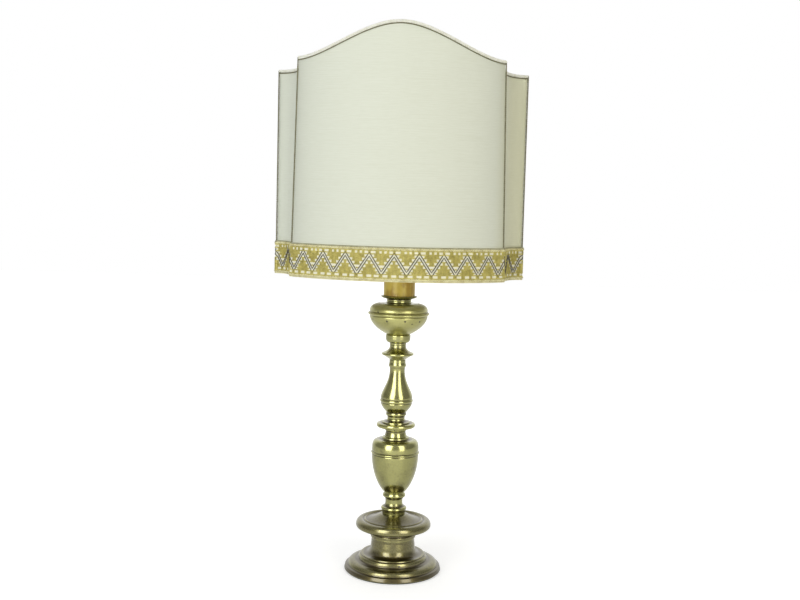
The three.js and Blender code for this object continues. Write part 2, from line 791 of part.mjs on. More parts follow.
// Runs of stations, all anticlockwise seen from above. Each ends a little short of the corner it shares.
const edgeShort = slipGap / 2 / (shade.frontRadius * frontAngle);
const coveShort = slipGap / 2 / shade.coveDepth;
function frontRun(heightAt) {
  const ends = 1 - edgeShort;
  return shares(arcSteps).map((share) => {
    const u = ends * (2 * share - 1);
    const made = frontStation(u, ...heightAt(u));
    if (share === 0 || share === 1) {
      const out = frontMitre(made.point.z);
      made.out = new THREE.Vector2(Math.sign(u) * out.x, out.y);
    }
    return made;
  });
}
function coveRun(z) {
  return shares(coveSteps).map((share) => {
    const made = coveStation(coveShort + share * (1 - 2 * coveShort), z);
    if (share === 0) made.out = frontMitre(z);
    if (share === 1) made.out = sideMitre;
    return made;
  });
}
function sideRun(z) {
  const y = sideCorner.y + slipGap / 2;
  return [
    station(sideCorner.x, y, z, sideMitre),
    station(sideCorner.x, -y, z, new THREE.Vector2(sideMitre.x, -sideMitre.y)),
  ];
}
// Top edge of the front: the share u maps to a place along the serpentine
function serpentineAt(u) {
  const at = serpentine.getPoint(serpentineShare(Math.abs(u)));
  return [at.y, cornerHeight];
}
function serpentineShare(u) {
  const half = Math.asin(edgeAt(cornerHeight).x / shade.frontRadius);
  const x = shade.frontRadius * Math.sin(u * half);
  let low = 0;
  let high = 1;
  for (let i = 0; i < 40; i++) {
    const middle = (low + high) / 2;
    if (serpentine.getPoint(middle).x < x) low = middle;
    else high = middle;
  }
  return (low + high) / 2;
}

// A wall between a lower and an upper run of stations, from the inner to the outer offset
function wall(lower, upper, inner, outer, closed = false) {
  const positions = [];
  lower.forEach((low, i) => {
    const corners = [standOff(low, inner), standOff(low, outer)];
    corners.push(standOff(upper[i], outer), standOff(upper[i], inner));
    positions.push(...corners.flatMap((corner) => corner.toArray()));
  });
  const index = [];
  const quad = (a, b, c, d) => index.push(a, b, c, a, c, d);
  const count = lower.length;
  for (let i = 0; i < (closed ? count : count - 1); i++) {
    const a = 4 * i;
    const b = 4 * ((i + 1) % count);
    quad(a + 1, b + 1, b + 2, a + 2);
    quad(a + 2, b + 2, b + 3, a + 3);
    quad(a + 3, b + 3, b, a);
    quad(a, b, b + 1, a + 1);
  }
  if (!closed) {
    const last = 4 * (count - 1);
    quad(0, 1, 2, 3);
    quad(last + 3, last + 2, last + 1, last);
  }
  const geometry = new THREE.BufferGeometry();
  geometry.setAttribute("position", new THREE.Float32BufferAttribute(positions, 3));
  geometry.setIndex(index);
  return geometry;
}
function lifted(run, by) {
  return run.map(({ point, out }) => ({ point: point.clone().setZ(point.z + by), out }));
}

// Cloth panels
const clothHalf = shade.cloth / 2;
const level0 = () => [0];
const quarters = [
  ["front_right", 1, -1],
  ["front_left", -1, -1],
  ["back_right", 1, 1],
  ["back_left", -1, 1],
];
// A run made for the front right is mirrored to a quarter; y signs are given as the quarter's own
function toQuarter(run, x, y) {
  return turnedRound(run, x, -y);
}
function addPanel(name, lower, upper) {
  shadeGroup.add(piece(name, wall(lower, upper, -clothHalf, clothHalf), silk));
}
for (const [name, y] of [["front", -1], ["back", 1]]) {
  addPanel(`${name}_panel`, toQuarter(frontRun(level0), 1, y), toQuarter(frontRun(serpentineAt), 1, y));
}
for (const [name, x] of [["right", 1], ["left", -1]]) {
  addPanel(`${name}_panel`, toQuarter(sideRun(0), x, -1), toQuarter(sideRun(shade.sideHeight), x, -1));
}
for (const [name, x, y] of quarters) {
  addPanel(`cove_${name}`, toQuarter(coveRun(0), x, y), toQuarter(coveRun(shade.sideHeight), x, y));
}

// Lace round the hem, one closed band that lies on the cloth
function loopAt(z) {
  const front = shares(arcSteps).map((share) => frontStation(2 * share - 1, z));
  front.pop();
  front.shift();
  const cove = shares(coveSteps).map((share) => coveStation(share, z));
  cove[0].out = frontMitre(z);
  cove[coveSteps].out = sideMitre;
  return [
    ...front,
    ...cove,
    ...toQuarter(cove, 1, 1),
    ...toQuarter(front, 1, 1),
    ...toQuarter(cove, -1, 1),
    ...toQuarter(cove, -1, -1),
  ];
}
const laceInner = clothHalf + slipGap;
const laceTop = lace.height - lace.overhang;
const laceOuter = laceInner + lace.thickness;
const laceBand = wall(lifted(loopAt(0), -lace.overhang), loopAt(laceTop), laceInner, laceOuter, true);
shadeGroup.add(piece("hem_lace", laceBand, goldBraid));

// Braid over the top edges: one length on the front and back, and one round each side
function addBraid(name, run) {
  const lower = lifted(run, slipGap);
  const upper = lifted(lower, braid.height);
  shadeGroup.add(piece(name, wall(lower, upper, -braid.width / 2, braid.width / 2), goldBraid));
}
function braidAcross(y) {
  return toQuarter(frontRun(serpentineAt), 1, y);
}
function braidRound(x) {
  const cove = coveRun(shade.sideHeight).slice(0, -1);
  const corner = station(sideCorner.x, sideCorner.y, shade.sideHeight, sideMitre);
  const clear = (braid.width / 2 + slipGap + clothHalf) / shade.coveDepth;
  cove[0] = coveStation(clear, shade.sideHeight);
  const half = [...cove, corner];
  return toQuarter([...half, ...turnedRound(half, 1, -1)], x, -1);
}
addBraid("front_braid", braidAcross(-1));
addBraid("back_braid", braidAcross(1));
addBraid("right_braid", braidRound(1));
addBraid("left_braid", braidRound(-1));

// Piping up the front's edges and the side corners, from the lace to the braid
function rod(start, end, radius) {
  const along = end.clone().sub(start);
  const geometry = new THREE.CylinderGeometry(radius, radius, along.length(), 6);
  const axis = new THREE.Vector3(0, 1, 0);
  const turn = new THREE.Quaternion().setFromUnitVectors(axis, along.clone().normalize());
  return geometry.applyQuaternion(turn).translate(...start.clone().add(end).multiplyScalar(0.5).toArray());
}
function standOff({ point, out }, by) {
  return new THREE.Vector3(point.x + out.x * by, point.y + out.y * by, point.z);
}
function frontEdge(z) {
  const edge = edgeAt(z);
  return station(edge.x, edge.y, z, frontMitre(z));
}
function sideEdge(z) {
  return station(sideCorner.x, sideCorner.y, z, sideMitre);
}
function addPiping(name, edge, top) {
  const off = clothHalf + slipGap + piping.radius;
  const geometry = rod(standOff(edge(laceTop + slipGap), off), standOff(edge(top), off), piping.radius);
  for (const [quarter, x, y] of quarters) {
    const turned = geometry.clone().scale(x, -y, 1);
    shadeGroup.add(piece(`${name}_${quarter}`, x * -y < 0 ? insideOut(turned) : turned, goldBraid));
  }
}
function insideOut(geometry) {
  const order = geometry.index.array;
  for (let i = 0; i < order.length; i += 3) [order[i + 1], order[i + 2]] = [order[i + 2], order[i + 1]];
  return geometry;
}
addPiping("edge_piping", frontEdge, cornerHeight);
addPiping("side_piping", sideEdge, shade.sideHeight);

// Welded wire frame inside the cloth: a hem wire, top wires and an upright at each edge and corner
const wireIn = -(clothHalf + slipGap + wire.radius);
function wireRun(run) {
  const points = run.map((made) => standOff(made, wireIn));
  return solidOf(sweptRod(points, wire.radius));
}
function sweptRod(points, radius) {
  const sides = 6;
  const up = new THREE.Vector3(0, 0, 1);
  const positions = [];
  points.forEach((point, i) => {
    const before = points[Math.max(i - 1, 0)];
    const after = points[Math.min(i + 1, points.length - 1)];
    const along = after.clone().sub(before).normalize();
    const across = new THREE.Vector3().crossVectors(along, up).normalize();
    const over = new THREE.Vector3().crossVectors(along, across);
    for (let k = 0; k < sides; k++) {
      const angle = (2 * Math.PI * k) / sides;
      const corner = point.clone().addScaledVector(across, radius * Math.cos(angle));
      positions.push(...corner.addScaledVector(over, radius * Math.sin(angle)).toArray());
    }
  });
  const index = [];
  const last = sides * (points.length - 1);
  for (let i = 0; i < last; i += sides) {
    for (let k = 0; k < sides; k++) {
      const next = (k + 1) % sides;
      index.push(i + k, i + next, i + sides + next, i + k, i + sides + next, i + sides + k);
    }
  }
  for (let k = 1; k < sides - 1; k++) index.push(0, k + 1, k, last, last + k, last + k + 1);
  const geometry = new THREE.BufferGeometry();
  geometry.setAttribute("position", new THREE.Float32BufferAttribute(positions, 3));
  geometry.setIndex(index);
  return geometry;
}
function wireFrame() {
  const low = wire.inFromEdge;
  const frontTop = (u) => [serpentineAt(u)[0] - low, cornerHeight];
  const wires = [];
  for (const y of [-1, 1]) {
    wires.push(wireRun(toQuarter(wholeFront(() => [low]), 1, y)));
    wires.push(wireRun(toQuarter(wholeFront(frontTop), 1, y)));
  }
  for (const x of [1, -1]) {
    for (const z of [low, shade.sideHeight - low]) wires.push(wireRun(toQuarter(wholeSide(z), x, -1)));
  }
  for (const [, x, y] of quarters) {
    wires.push(upright(frontEdge, cornerHeight, x, y), upright(sideEdge, shade.sideHeight, x, y));
  }
  return geometryOf(wires.reduce((frame, part) => frame.add(part)));
}
function wholeFront(heightAt) {
  return shares(arcSteps).map((share) => {
    const made = frontStation(2 * share - 1, ...heightAt(2 * share - 1));
    if (share === 0 || share === 1) {
      const out = frontMitre(made.point.z);
      made.out = new THREE.Vector2((2 * share - 1) * out.x, out.y);
    }
    return made;
  });
}
function wholeSide(z) {
  const cove = shares(coveSteps).map((share) => coveStation(share, z));
  cove[0].out = frontMitre(z);
  cove[coveSteps].out = sideMitre;
  return [...cove, ...turnedRound(cove, 1, -1)];
}
function upright(edge, top, x, y) {
  const ends = [wire.inFromEdge, top - wire.inFromEdge];
  const quarter = new THREE.Vector3(x, -y, 1);
  const [low, high] = ends.map((z) => standOff(edge(z), wireIn).multiply(quarter));
  return solidOf(rod(low, high, wire.radius));
}
shadeGroup.add(piece("wire_frame", wireFrame(), whiteWire));

// Fitter ring and the arms that hang the frame from it
const fitterRadius = threadBore + fitter.reach;
const fitterRing = ring(threadBore, fitterRadius, fitter.thickness, turnedSides);
shadeGroup.add(piece("fitter_ring", fitterRing, whiteWire, shade.ringDrop));
function addArm(name, outerRadius, turn) {
  const wireInside = outerRadius + wireIn - wire.radius;
  const slope = Math.atan2(shade.ringDrop - wire.inFromEdge, wireInside - fitterRadius);
  const clear = slipGap + arm.radius * Math.sin(slope);
  const inner = new THREE.Vector3(fitterRadius + clear, 0, shade.ringDrop + fitter.thickness / 2);
  const outer = new THREE.Vector3(wireInside - clear, 0, wire.inFromEdge);
  shadeGroup.add(piece(name, rod(inner, outer, arm.radius).rotateZ(turn), whiteWire));
}
addArm("arm_right", sideCorner.x, 0);
addArm("arm_back", frontReach, Math.PI / 2);
addArm("arm_left", sideCorner.x, Math.PI);
addArm("arm_front", frontReach, -Math.PI / 2);

const torchere = new THREE.Group();
torchere.add(stand, bulbGroup, shadeGroup);
export default torchere;
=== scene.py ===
import bmesh
import bpy
import numpy as np
from mathutils import Matrix, Vector


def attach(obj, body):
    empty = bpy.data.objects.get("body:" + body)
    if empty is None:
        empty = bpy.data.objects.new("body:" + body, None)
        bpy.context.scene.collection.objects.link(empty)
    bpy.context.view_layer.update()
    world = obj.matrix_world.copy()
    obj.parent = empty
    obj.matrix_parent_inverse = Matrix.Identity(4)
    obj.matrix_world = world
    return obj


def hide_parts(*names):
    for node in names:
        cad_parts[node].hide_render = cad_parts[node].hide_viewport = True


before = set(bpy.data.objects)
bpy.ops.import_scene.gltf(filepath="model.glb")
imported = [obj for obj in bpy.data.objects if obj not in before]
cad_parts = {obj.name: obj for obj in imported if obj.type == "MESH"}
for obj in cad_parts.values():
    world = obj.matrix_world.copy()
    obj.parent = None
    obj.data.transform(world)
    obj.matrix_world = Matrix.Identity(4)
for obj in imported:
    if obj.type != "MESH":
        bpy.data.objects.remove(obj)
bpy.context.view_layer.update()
scene = bpy.context.scene
scene.view_settings.view_transform = "Standard"
mm = 0.001
turn = 2 * np.pi
square = ((-1, -1), (1, -1), (1, 1), (-1, 1))


def linked(name, data):
    made = bpy.data.objects.new(name, data)
    scene.collection.objects.link(made)
    return made


# a point at a distance from the lamp, by its azimuth to the right of the front and its rise above the level
def outward(azimuth, rise, distance):
    level = np.cos(rise) * distance
    return Vector((np.sin(azimuth) * level, -np.cos(azimuth) * level, np.sin(rise) * distance))


# camera at the photographed angle, a little above the shade's hem and right of the lamp
view = {"lens": 49.5, "sensor": 36, "shift": 0.0011, "distance": 1.401, "height": 0.480, "azimuth": 2.0,
        "pitch": 5.19, "roll": 1.5}


def placeCamera():
    azimuth, pitch, roll = np.radians([view["azimuth"], view["pitch"], view["roll"]])
    data = bpy.data.cameras.new("lampView")
    data.lens = view["lens"]
    data.sensor_width = view["sensor"]
    data.shift_x = view["shift"]
    made = linked("lampView", data)
    stand = outward(azimuth, 0.0, view["distance"]) + Vector((0, 0, view["height"]))
    aim = Matrix.Rotation(azimuth, 4, "Z") @ Matrix.Rotation(np.pi / 2 - pitch, 4, "X")
    made.matrix_world = Matrix.Translation(stand) @ aim @ Matrix.Rotation(roll, 4, "Z")
    scene.camera = made


placeCamera()
print("camera placed")


# a value on its way through a node tree: arithmetic with it adds the nodes
class Flow:
    def __init__(self, socket):
        self.socket = socket
        self.tree = socket.id_data

    def reckon(self, operation, *others):
        return node(self.tree, "Math", self, *others, operation=operation)[0]

    def __add__(self, other):
        return self.reckon("ADD", other)

    def __sub__(self, other):
        return self.reckon("SUBTRACT", other)

    def __rsub__(self, other):
        return node(self.tree, "Math", other, self, operation="SUBTRACT")[0]

    def __mul__(self, other):
        return self.reckon("MULTIPLY", other)


# a socket takes a flow or a plain value
def feed(socket, value):
    if isinstance(value, Flow):
        value.tree.links.new(value.socket, socket)
    else:
        socket.default_value = value


def node(tree, kind, *values, **settings):
    made = tree.nodes.new("ShaderNode" + kind)
    for key, value in settings.items():
        setattr(made, key, value)
    for socket, value in zip(made.inputs, values):
        feed(socket, value)
    return [Flow(socket) for socket in made.outputs]


def byName(flows):
    return {flow.socket.name: flow for flow in flows}


def grouped(group, vector, *values):
    return byName(node(vector.tree, "Group", vector, *values, node_tree=group))


def ease(value, low, high, start=0.0, end=1.0):
    return node(value.tree, "MapRange", value, low, high, start, end, interpolation_type="SMOOTHSTEP")[0]


def stretch(vector, scale):
    return node(vector.tree, "VectorMath", vector, scale, operation="MULTIPLY")[0]


def axes(vector):
    return node(vector.tree, "SeparateXYZ", vector)


def noise(vector, scale, detail=3.0, roughness=0.5):
    return node(vector.tree, "TexNoise", vector, 0.0, scale, detail, roughness)[0]


def mixed(share, first, second):
    made = share.tree.nodes.new("ShaderNodeMix")
    made.data_type = "RGBA"
    feed(made.inputs[0], share)
    for socket, colour in ((made.inputs[6], first), (made.inputs[7], second)):
        feed(socket, colour if isinstance(colour, Flow) else (*colour, 1))
    return Flow(made.outputs[2])


def relief(height, distance, strength):
    made = height.tree.nodes.new("ShaderNodeBump")
    made.inputs["Strength"].default_value = strength
    made.inputs["Distance"].default_value = distance
    feed(made.inputs["Height"], height)
    return Flow(made.outputs[0])


def objectSpace(tree):
    return byName(node(tree, "TexCoord"))["Object"]


def ownUv(tree):
    return node(tree, "UVMap", uv_map="laid")[0]


# the hollow mark: how deep a point lies in a groove of turned brass, and on the cloth panels a painted shade
# along their upright edges
def hollowAndEdgeShade(tree):
    return byName(node(tree, "Attribute", attribute_name="hollow"))["Fac"]


# a group takes a vector and some plain values, and gives plain values
def newGroup(name, inputs, outputs):
    tree = bpy.data.node_groups.new(name, "ShaderNodeTree")
    tree.interface.new_socket("Vector", in_out="INPUT", socket_type="NodeSocketVector")
    for way, labels in (("INPUT", inputs), ("OUTPUT", outputs)):
        for label in labels:
            tree.interface.new_socket(label, in_out=way, socket_type="NodeSocketFloat")
    given = tree.nodes.new("NodeGroupInput").outputs[:len(inputs) + 1]
    return tree, [Flow(socket) for socket in given], tree.nodes.new("NodeGroupOutput").inputs


def newMaterial(name, **plain):
    made = bpy.data.materials.new(name)
    made.use_nodes = True
    tree = made.node_tree
    shader = tree.nodes["Principled BSDF"]
    for label, value in plain.items():
        shader.inputs[label.replace("_", " ")].default_value = value
    return made, tree, shader.inputs


# stage: a white floor that keeps the lamp's shadow, and a white surround
stage = {"floorHalf": 5.0, "floorDrop": 0.0002, "floorColour": (0.80, 0.80, 0.80),
         "sideColour": (0.78, 0.78, 0.78), "nearLift": 0.52, "farLift": 1.0, "sheenLift": 0.36,
         "sideLoss": 0.55, "worldFill": 0.26, "backFill": 0.85, "overFill": 0.45, "sideGlow": 0.30,
         "behindGlow": 0.95, "frontGlow": 0.42, "topGlow": 0.10, "aimHeight": 0.33, "glowGap": 0.02}


def addSheet(name, points, material):
    mesh = bpy.data.meshes.new(name)
    mesh.from_pydata(points, [], [(0, 1, 2, 3)])
    mesh.materials.append(material)
    made = linked(name, mesh)
    return made


# which rays see the stage as the picture shows it, and which see what polished metal mirrors
def rayKinds(tree):
    path = byName(node(tree, "LightPath"))
    return path["Is Camera Ray"].reckon("MAXIMUM", path["Is Transmission Ray"]), path["Is Glossy Ray"]


def makeFloor():
    paper, tree, sockets = newMaterial("whitePaper", Roughness=0.9, Specular_IOR_Level=0.0,
                                       Emission_Color=(1, 1, 1, 1))
    seen, glossy = rayKinds(tree)
    # what polished metal mirrors of the paper is painted: a glow that only glossy rays see, strong in front
    # of the lamp and behind it, and a dimmer colour at its sides
    level = node(tree, "VectorMath", stretch(objectSpace(tree), (1.0, 1.0, 0.0)), operation="NORMALIZE")[0]
    dimmed = glossy * ease(axes(level)[0].reckon("ABSOLUTE"), 0.35, 0.95)
    feed(sockets["Base Color"], mixed(dimmed, stage["floorColour"], stage["sideColour"]))
    mirrored = (glossy - dimmed * stage["sideLoss"]) * stage["sheenLift"]
    # the paper also glows for the camera, a painted light that is weaker near the lamp, so that its shadow
    # still shows there
    away = byName(node(tree, "VectorMath", objectSpace(tree), operation="LENGTH"))["Value"]
    lift = ease(away, 0.10, 0.55, stage["nearLift"], stage["farLift"])
    feed(sockets["Emission Strength"], seen * lift + mirrored)
    half = stage["floorHalf"]
    addSheet("floor", [(x * half, y * half, -stage["floorDrop"]) for x, y in square], paper)


def makeWorld():
    world = bpy.data.worlds.new("studio")
    scene.world = world
    world.use_nodes = True
    tree = world.node_tree
    shade = tree.nodes["Background"].inputs
    seen, glossy = rayKinds(tree)
    depth, height = axes(byName(node(tree, "TexCoord"))["Generated"])[1:]
    # polished metal sees white behind the lamp, a dimmer room at the sides and a lit one in front
    behind = ease(depth, 0.25, 0.85, stage["sideGlow"], stage["behindGlow"])
    before = ease(depth, -0.35, -0.95, 0.0, stage["frontGlow"] - stage["sideGlow"])
    room = behind + before + ease(height, 0.3, 0.9, 0.0, stage["topGlow"])
    # the rest is lit a little from all round, and more from behind and from above
    fill = ease(depth, 0.1, 0.9, stage["worldFill"], stage["backFill"])
    fill = fill + ease(height, 0.75, 0.98, 0.0, stage["overFill"])
    shade["Color"].default_value = (1, 1, 1, 1)
    feed(shade["Strength"], seen + (1.0 - seen) * (glossy * room + (1.0 - glossy) * fill))


# two soft boxes in front, left and right of the camera, and close behind each a wider white sheet
softBoxes = {"left": {"azimuth": -31, "rise": 16, "distance": 1.65, "size": (0.80, 1.60), "power": 10.5,
                      "tint": (0.98, 1.0, 1.0), "glow": (1.05, 1.70), "glowPower": 2.3},
             "right": {"azimuth": 35, "rise": 16, "distance": 1.65, "size": (0.58, 1.60), "power": 6.55,
                       "tint": (1.0, 0.955, 0.80), "glow": (0.80, 1.70), "glowPower": 2.0}}


def makeSoftBox(name, box):
    data = bpy.data.lights.new(name, "AREA")
    data.shape = "RECTANGLE"
    data.size, data.size_y = box["size"]
    data.energy = box["power"]
    data.color = box["tint"]
    made = linked(name, data)
    back = outward(*np.radians([box["azimuth"], box["rise"]]), box["distance"])
    aim = (-back).to_track_quat("-Z", "Y").to_matrix().to_4x4()
    made.matrix_world = Matrix.Translation(Vector((0, 0, stage["aimHeight"])) + back) @ aim
    makeGlow(name + "_glow", box, made.matrix_world)


# the white sheet is there for polished metal to mirror, and no other ray sees it
def makeGlow(name, box, place):
    wide, tall = box["glow"]
    points = [place @ Vector((x * wide / 2, y * tall / 2, stage["glowGap"])) for x, y in square]
    white = newMaterial(name, Base_Color=(0, 0, 0, 1), Specular_IOR_Level=0.0, Emission_Color=(1, 1, 1, 1),
                        Emission_Strength=box["glowPower"])[0]
    white.cycles.emission_sampling = "NONE"
    made = addSheet(name, points, white)
    for ray in ("camera", "diffuse", "transmission", "volume_scatter", "shadow"):
        setattr(made, "visible_" + ray, False)


makeFloor()
makeWorld()
for label, box in softBoxes.items():
    makeSoftBox("softBox_" + label, box)
print("stage lit")


# patina: dark in hollows and in slow patches, thin along arrises; sparse casting pits; faint turning rings
def patinaGroup():
    tree, (vector, hollow, age, sound), out = newGroup("patina", ("Hollow", "Age", "Sound"),
                                                       ("Tarnish", "Pits", "Height"))
    patches = noise(vector, 42.0, 4.0, 0.6)
    grain = noise(vector, 420.0, 3.0, 0.6)
    rings = noise(stretch(vector, (0.04, 0.04, 1.0)), 1500.0, 2.0)
    deep = ease(hollow, 0.03, 0.40)
    worn = ease(hollow, -0.05, -0.45)
    cloud = ease(patches + age, 0.36, 0.80)
    fleck = ease(grain, 0.4, 0.72, 0.0, 0.22)
    feed(out["Tarnish"], ease(deep * 0.85 + cloud * 0.5 + fleck - worn * 0.45, 0.0, 1.0))
    cells = byName(node(tree, "TexVoronoi", vector, 0.0, 95.0))
    chance = node(tree, "SeparateColor", cells["Color"])[0]
    close = ease(grain * 0.12 + cells["Distance"], 0.22, 0.14)
    pits = close * chance.reckon("GREATER_THAN", sound)
    feed(out["Pits"], pits)
    feed(out["Height"], rings * 0.35 + grain * 0.25 - pits * 2.0)
    return tree


# weave: sine threads over and under each other, and long slubs that run with the weft
def weaveGroup():
    tree, (vector, threads, slubs), out = newGroup("weave", ("Threads", "Slub"), ("Tone", "Height"))
    warp, weft = [(run * (threads * turn)).reckon("SINE") for run in axes(vector)[:2]]
    thread = warp * weft * 0.5 + 0.5
    longSlub = noise(stretch(vector, (18.0, 1900.0, 1.0)), 1.0, 3.0, 0.55)
    shortSlub = noise(stretch(vector, (90.0, 1100.0, 1.0)), 1.0, 2.0)
    slub = ease(longSlub * 0.62 + shortSlub * 0.38, 0.36, 0.66) * slubs
    feed(out["Tone"], thread * 0.22 + slub)
    feed(out["Height"], thread * 0.5 + slub)
    return tree


# mottle: soft blotches and a fine speckle, for painted, moulded and felted surfaces
def mottleGroup():
    tree, (vector, size), out = newGroup("mottle", ("Size",), ("Blotch", "Speckle"))
    feed(out["Blotch"], ease(noise(vector, size, 4.0), 0.32, 0.68))
    feed(out["Speckle"], noise(vector, size * 14.0, 2.0))
    return tree


patina = patinaGroup()
weave = weaveGroup()
mottle = mottleGroup()
tarnishDark = (0.095, 0.075, 0.022)
pitDark = (0.035, 0.026, 0.012)


def agedBrass(name, age, sound=0.9, polished=(0.442, 0.428, 0.142), dull=0.10):
    made, tree, sockets = newMaterial(name, Metallic=1.0, Coat_Weight=0.7, Coat_Roughness=dull, Coat_IOR=1.75)
    old = grouped(patina, objectSpace(tree), hollowAndEdgeShade(tree), age, sound)
    colour = mixed(old["Tarnish"], polished, tarnishDark)
    feed(sockets["Base Color"], mixed(old["Pits"], colour, pitDark))
    feed(sockets["Roughness"], ease(old["Tarnish"], 0.0, 1.0, dull + 0.08, dull + 0.22))
    feed(sockets["Normal"], relief(old["Height"], 0.00012, 0.6))
    return made


def mottled(name, size, light, dark, rough, bump, **plain):
    made, tree, sockets = newMaterial(name, **plain)
    spots = grouped(mottle, objectSpace(tree), size)
    feed(sockets["Base Color"], mixed(spots["Blotch"], light, dark))
    feed(sockets["Roughness"], ease(spots["Speckle"], 0.3, 0.7, *rough))
    feed(sockets["Normal"], relief(spots["Speckle"], bump, 0.5))
    return made


def woven(name, threads, slub, light, dark, bump, paintedLight=None, **plain):
    made, tree, sockets = newMaterial(name, **plain)
    cloth = grouped(weave, ownUv(tree), threads, slub)
    tone = mixed(cloth["Tone"], light, dark)
    feed(sockets["Base Color"], paintedLight(tone) if paintedLight else tone)
    feed(sockets["Normal"], relief(cloth["Height"], bump, 0.5))
    return made


# silk: a painted shade along the upright edges, and a painted warm light on its right side
def silkLightAndShade(tone):
    tone = mixed(hollowAndEdgeShade(tone.tree) * 0.20, tone, (0.05, 0.05, 0.03))
    # a painted warm light over the right cove
    warmLight = ease(axes(objectSpace(tone.tree))[0], 0.108, 0.132, 0.0, 0.20)
    return mixed(warmLight, tone, (0.84, 0.76, 0.26))


# twisted or plaited thread: strands run aslant on the piece's own lengthwise and roundabout measure
def spun(name, light, dark, lays, **plain):
    made, tree, sockets = newMaterial(name, **plain)
    along, about = axes(ownUv(tree))[:2]
    thread = ((along * lays + about * 3.0) * turn).reckon("SINE")
    spots = grouped(mottle, objectSpace(tree), 160.0)
    share = ease(thread * 0.28 + spots["Blotch"] * 0.6, -0.2, 0.9)
    feed(sockets["Base Color"], mixed(share, light, dark))
    feed(sockets["Normal"], relief(thread, 0.0001, 0.6))
    return made


# a candle tube of waxed card: honey brown, with upright streaks and a soft polish
def waxCard(name):
    made, tree, sockets = newMaterial(name, Coat_Weight=0.25, Coat_Roughness=0.25)
    streaks = noise(stretch(objectSpace(tree), (150.0, 150.0, 6.0)), 1.0, 3.0)
    spots = grouped(mottle, objectSpace(tree), 45.0)
    share = ease(streaks * 0.7 + spots["Blotch"] * 0.3, 0.36, 0.66)
    feed(sockets["Base Color"], mixed(share, (0.74, 0.56, 0.085), (0.47, 0.29, 0.026)))
    feed(sockets["Roughness"], ease(spots["Speckle"], 0.3, 0.7, 0.38, 0.5))
    feed(sockets["Normal"], relief(spots["Speckle"], 0.00012, 0.5))
    return made


brassCast = agedBrass("agedBrass", 0.06)
brassWorn = agedBrass("agedBrassWorn", -0.02, 0.9, (0.405, 0.394, 0.132))
brassDark = agedBrass("agedBrassDark", 0.56, 0.9, (0.31, 0.290, 0.101), 0.12)
# the knop's lighter brass colour is a painted reflection of the lampshade's bright inside, which its dull
# belly mirrors
brassPitted = agedBrass("agedBrassPitted", -0.02, 0.3, (0.52, 0.50, 0.165), 0.28)
brassPlain = mottled("plainBrass", 90.0, (0.62, 0.47, 0.17), (0.42, 0.31, 0.10), (0.25, 0.4), 0.00005,
                     Metallic=1.0)
steelGrey = mottled("greySteel", 90.0, (0.46, 0.46, 0.45), (0.30, 0.29, 0.28), (0.3, 0.5), 0.00005,
                    Metallic=1.0)
feltGreen = mottled("greenFelt", 260.0, (0.050, 0.075, 0.038), (0.030, 0.046, 0.022), (0.9, 1.0), 0.0005)
bakeliteBrown = mottled("darkBakelite", 60.0, (0.020, 0.014, 0.010), (0.010, 0.007, 0.006), (0.28, 0.4),
                        0.00004)
porcelainWhite = mottled("porcelain", 40.0, (0.80, 0.78, 0.72), (0.74, 0.71, 0.64), (0.2, 0.3), 0.00003)
capNickel = mottled("capNickel", 70.0, (0.58, 0.57, 0.53), (0.44, 0.43, 0.39), (0.25, 0.4), 0.00004,
                    Metallic=1.0)
opalGlass = mottled("opalGlass", 12.0, (0.86, 0.85, 0.81), (0.83, 0.81, 0.76), (0.16, 0.2), 0.00002,
                    Coat_Weight=0.4, Coat_Roughness=0.05)
wirePaint = mottled("wirePaint", 80.0, (0.74, 0.72, 0.66), (0.62, 0.59, 0.51), (0.4, 0.6), 0.00015)
candleWax = waxCard("waxedCard")
silkCloth = woven("slubSilk", 1500.0, 0.45, (0.806, 0.834, 0.722), (0.710, 0.733, 0.600), 0.00018,
                  silkLightAndShade, Roughness=0.62, Sheen_Weight=0.25, Sheen_Roughness=0.4)
liningCloth = woven("cottonLining", 1100.0, 0.35, (0.83, 0.81, 0.72), (0.72, 0.68, 0.57), 0.00015,
                    Roughness=0.85)
tapeCloth = woven("laceTape", 900.0, 0.3, (0.95, 0.93, 0.78), (0.87, 0.84, 0.64), 0.00015, Roughness=0.8)
goldThread = spun("goldThread", (0.71, 0.635, 0.205), (0.48, 0.415, 0.10), 900.0, Roughness=0.5,
                  Metallic=0.3)
greyThread = spun("greyThread", (0.15, 0.138, 0.095), (0.075, 0.066, 0.042), 700.0, Roughness=0.5,
                  Metallic=0.2)
creamCord = spun("creamCord", (0.94, 0.90, 0.56), (0.56, 0.48, 0.18), 380.0, Roughness=0.55)
oliveGimp = spun("oliveGimp", (0.46, 0.44, 0.27), (0.28, 0.265, 0.15), 500.0, Roughness=0.6)
paleGimp = spun("paleGimp", (0.97, 0.97, 0.90), (0.84, 0.835, 0.70), 420.0, Roughness=0.6)
darkCord = spun("darkCord", (0.235, 0.225, 0.13), (0.12, 0.11, 0.055), 500.0, Roughness=0.6)
print("materials mixed")


arris = np.radians(42)
onceRound = 1000


def unit(vectors):
    return vectors / np.linalg.norm(vectors, axis=-1, keepdims=True)


# the lengths walked along a line of points, and the line read again at other lengths
def walkOf(line):
    return np.concatenate([[0], np.cumsum(np.hypot.reduce(np.diff(line, axis=0), axis=1))])


def readAt(at, walk, line):
    return np.column_stack([np.interp(at, walk, run) for run in line.T])


def crossed(down, across):
    return np.stack(np.meshgrid(down, across, indexing="ij"), -1)


# grids: rows by columns of points become quads, joined round where a direction is closed
def gridQuads(rows, columns, closedRows=False, closedColumns=False):
    i, j = np.indices((rows - (not closedRows), columns - (not closedColumns)))
    below, beside = (i + 1) % rows, (j + 1) % columns
    corners = [i * columns + j, i * columns + beside, below * columns + beside, below * columns + j]
    return np.stack(corners, -1).reshape(-1, 4)


def gridUv(laid):
    # laid holds one more row or column than the points where that direction is closed
    return np.stack([laid[:-1, :-1], laid[:-1, 1:], laid[1:, 1:], laid[1:, :-1]], 2).reshape(-1, 2)


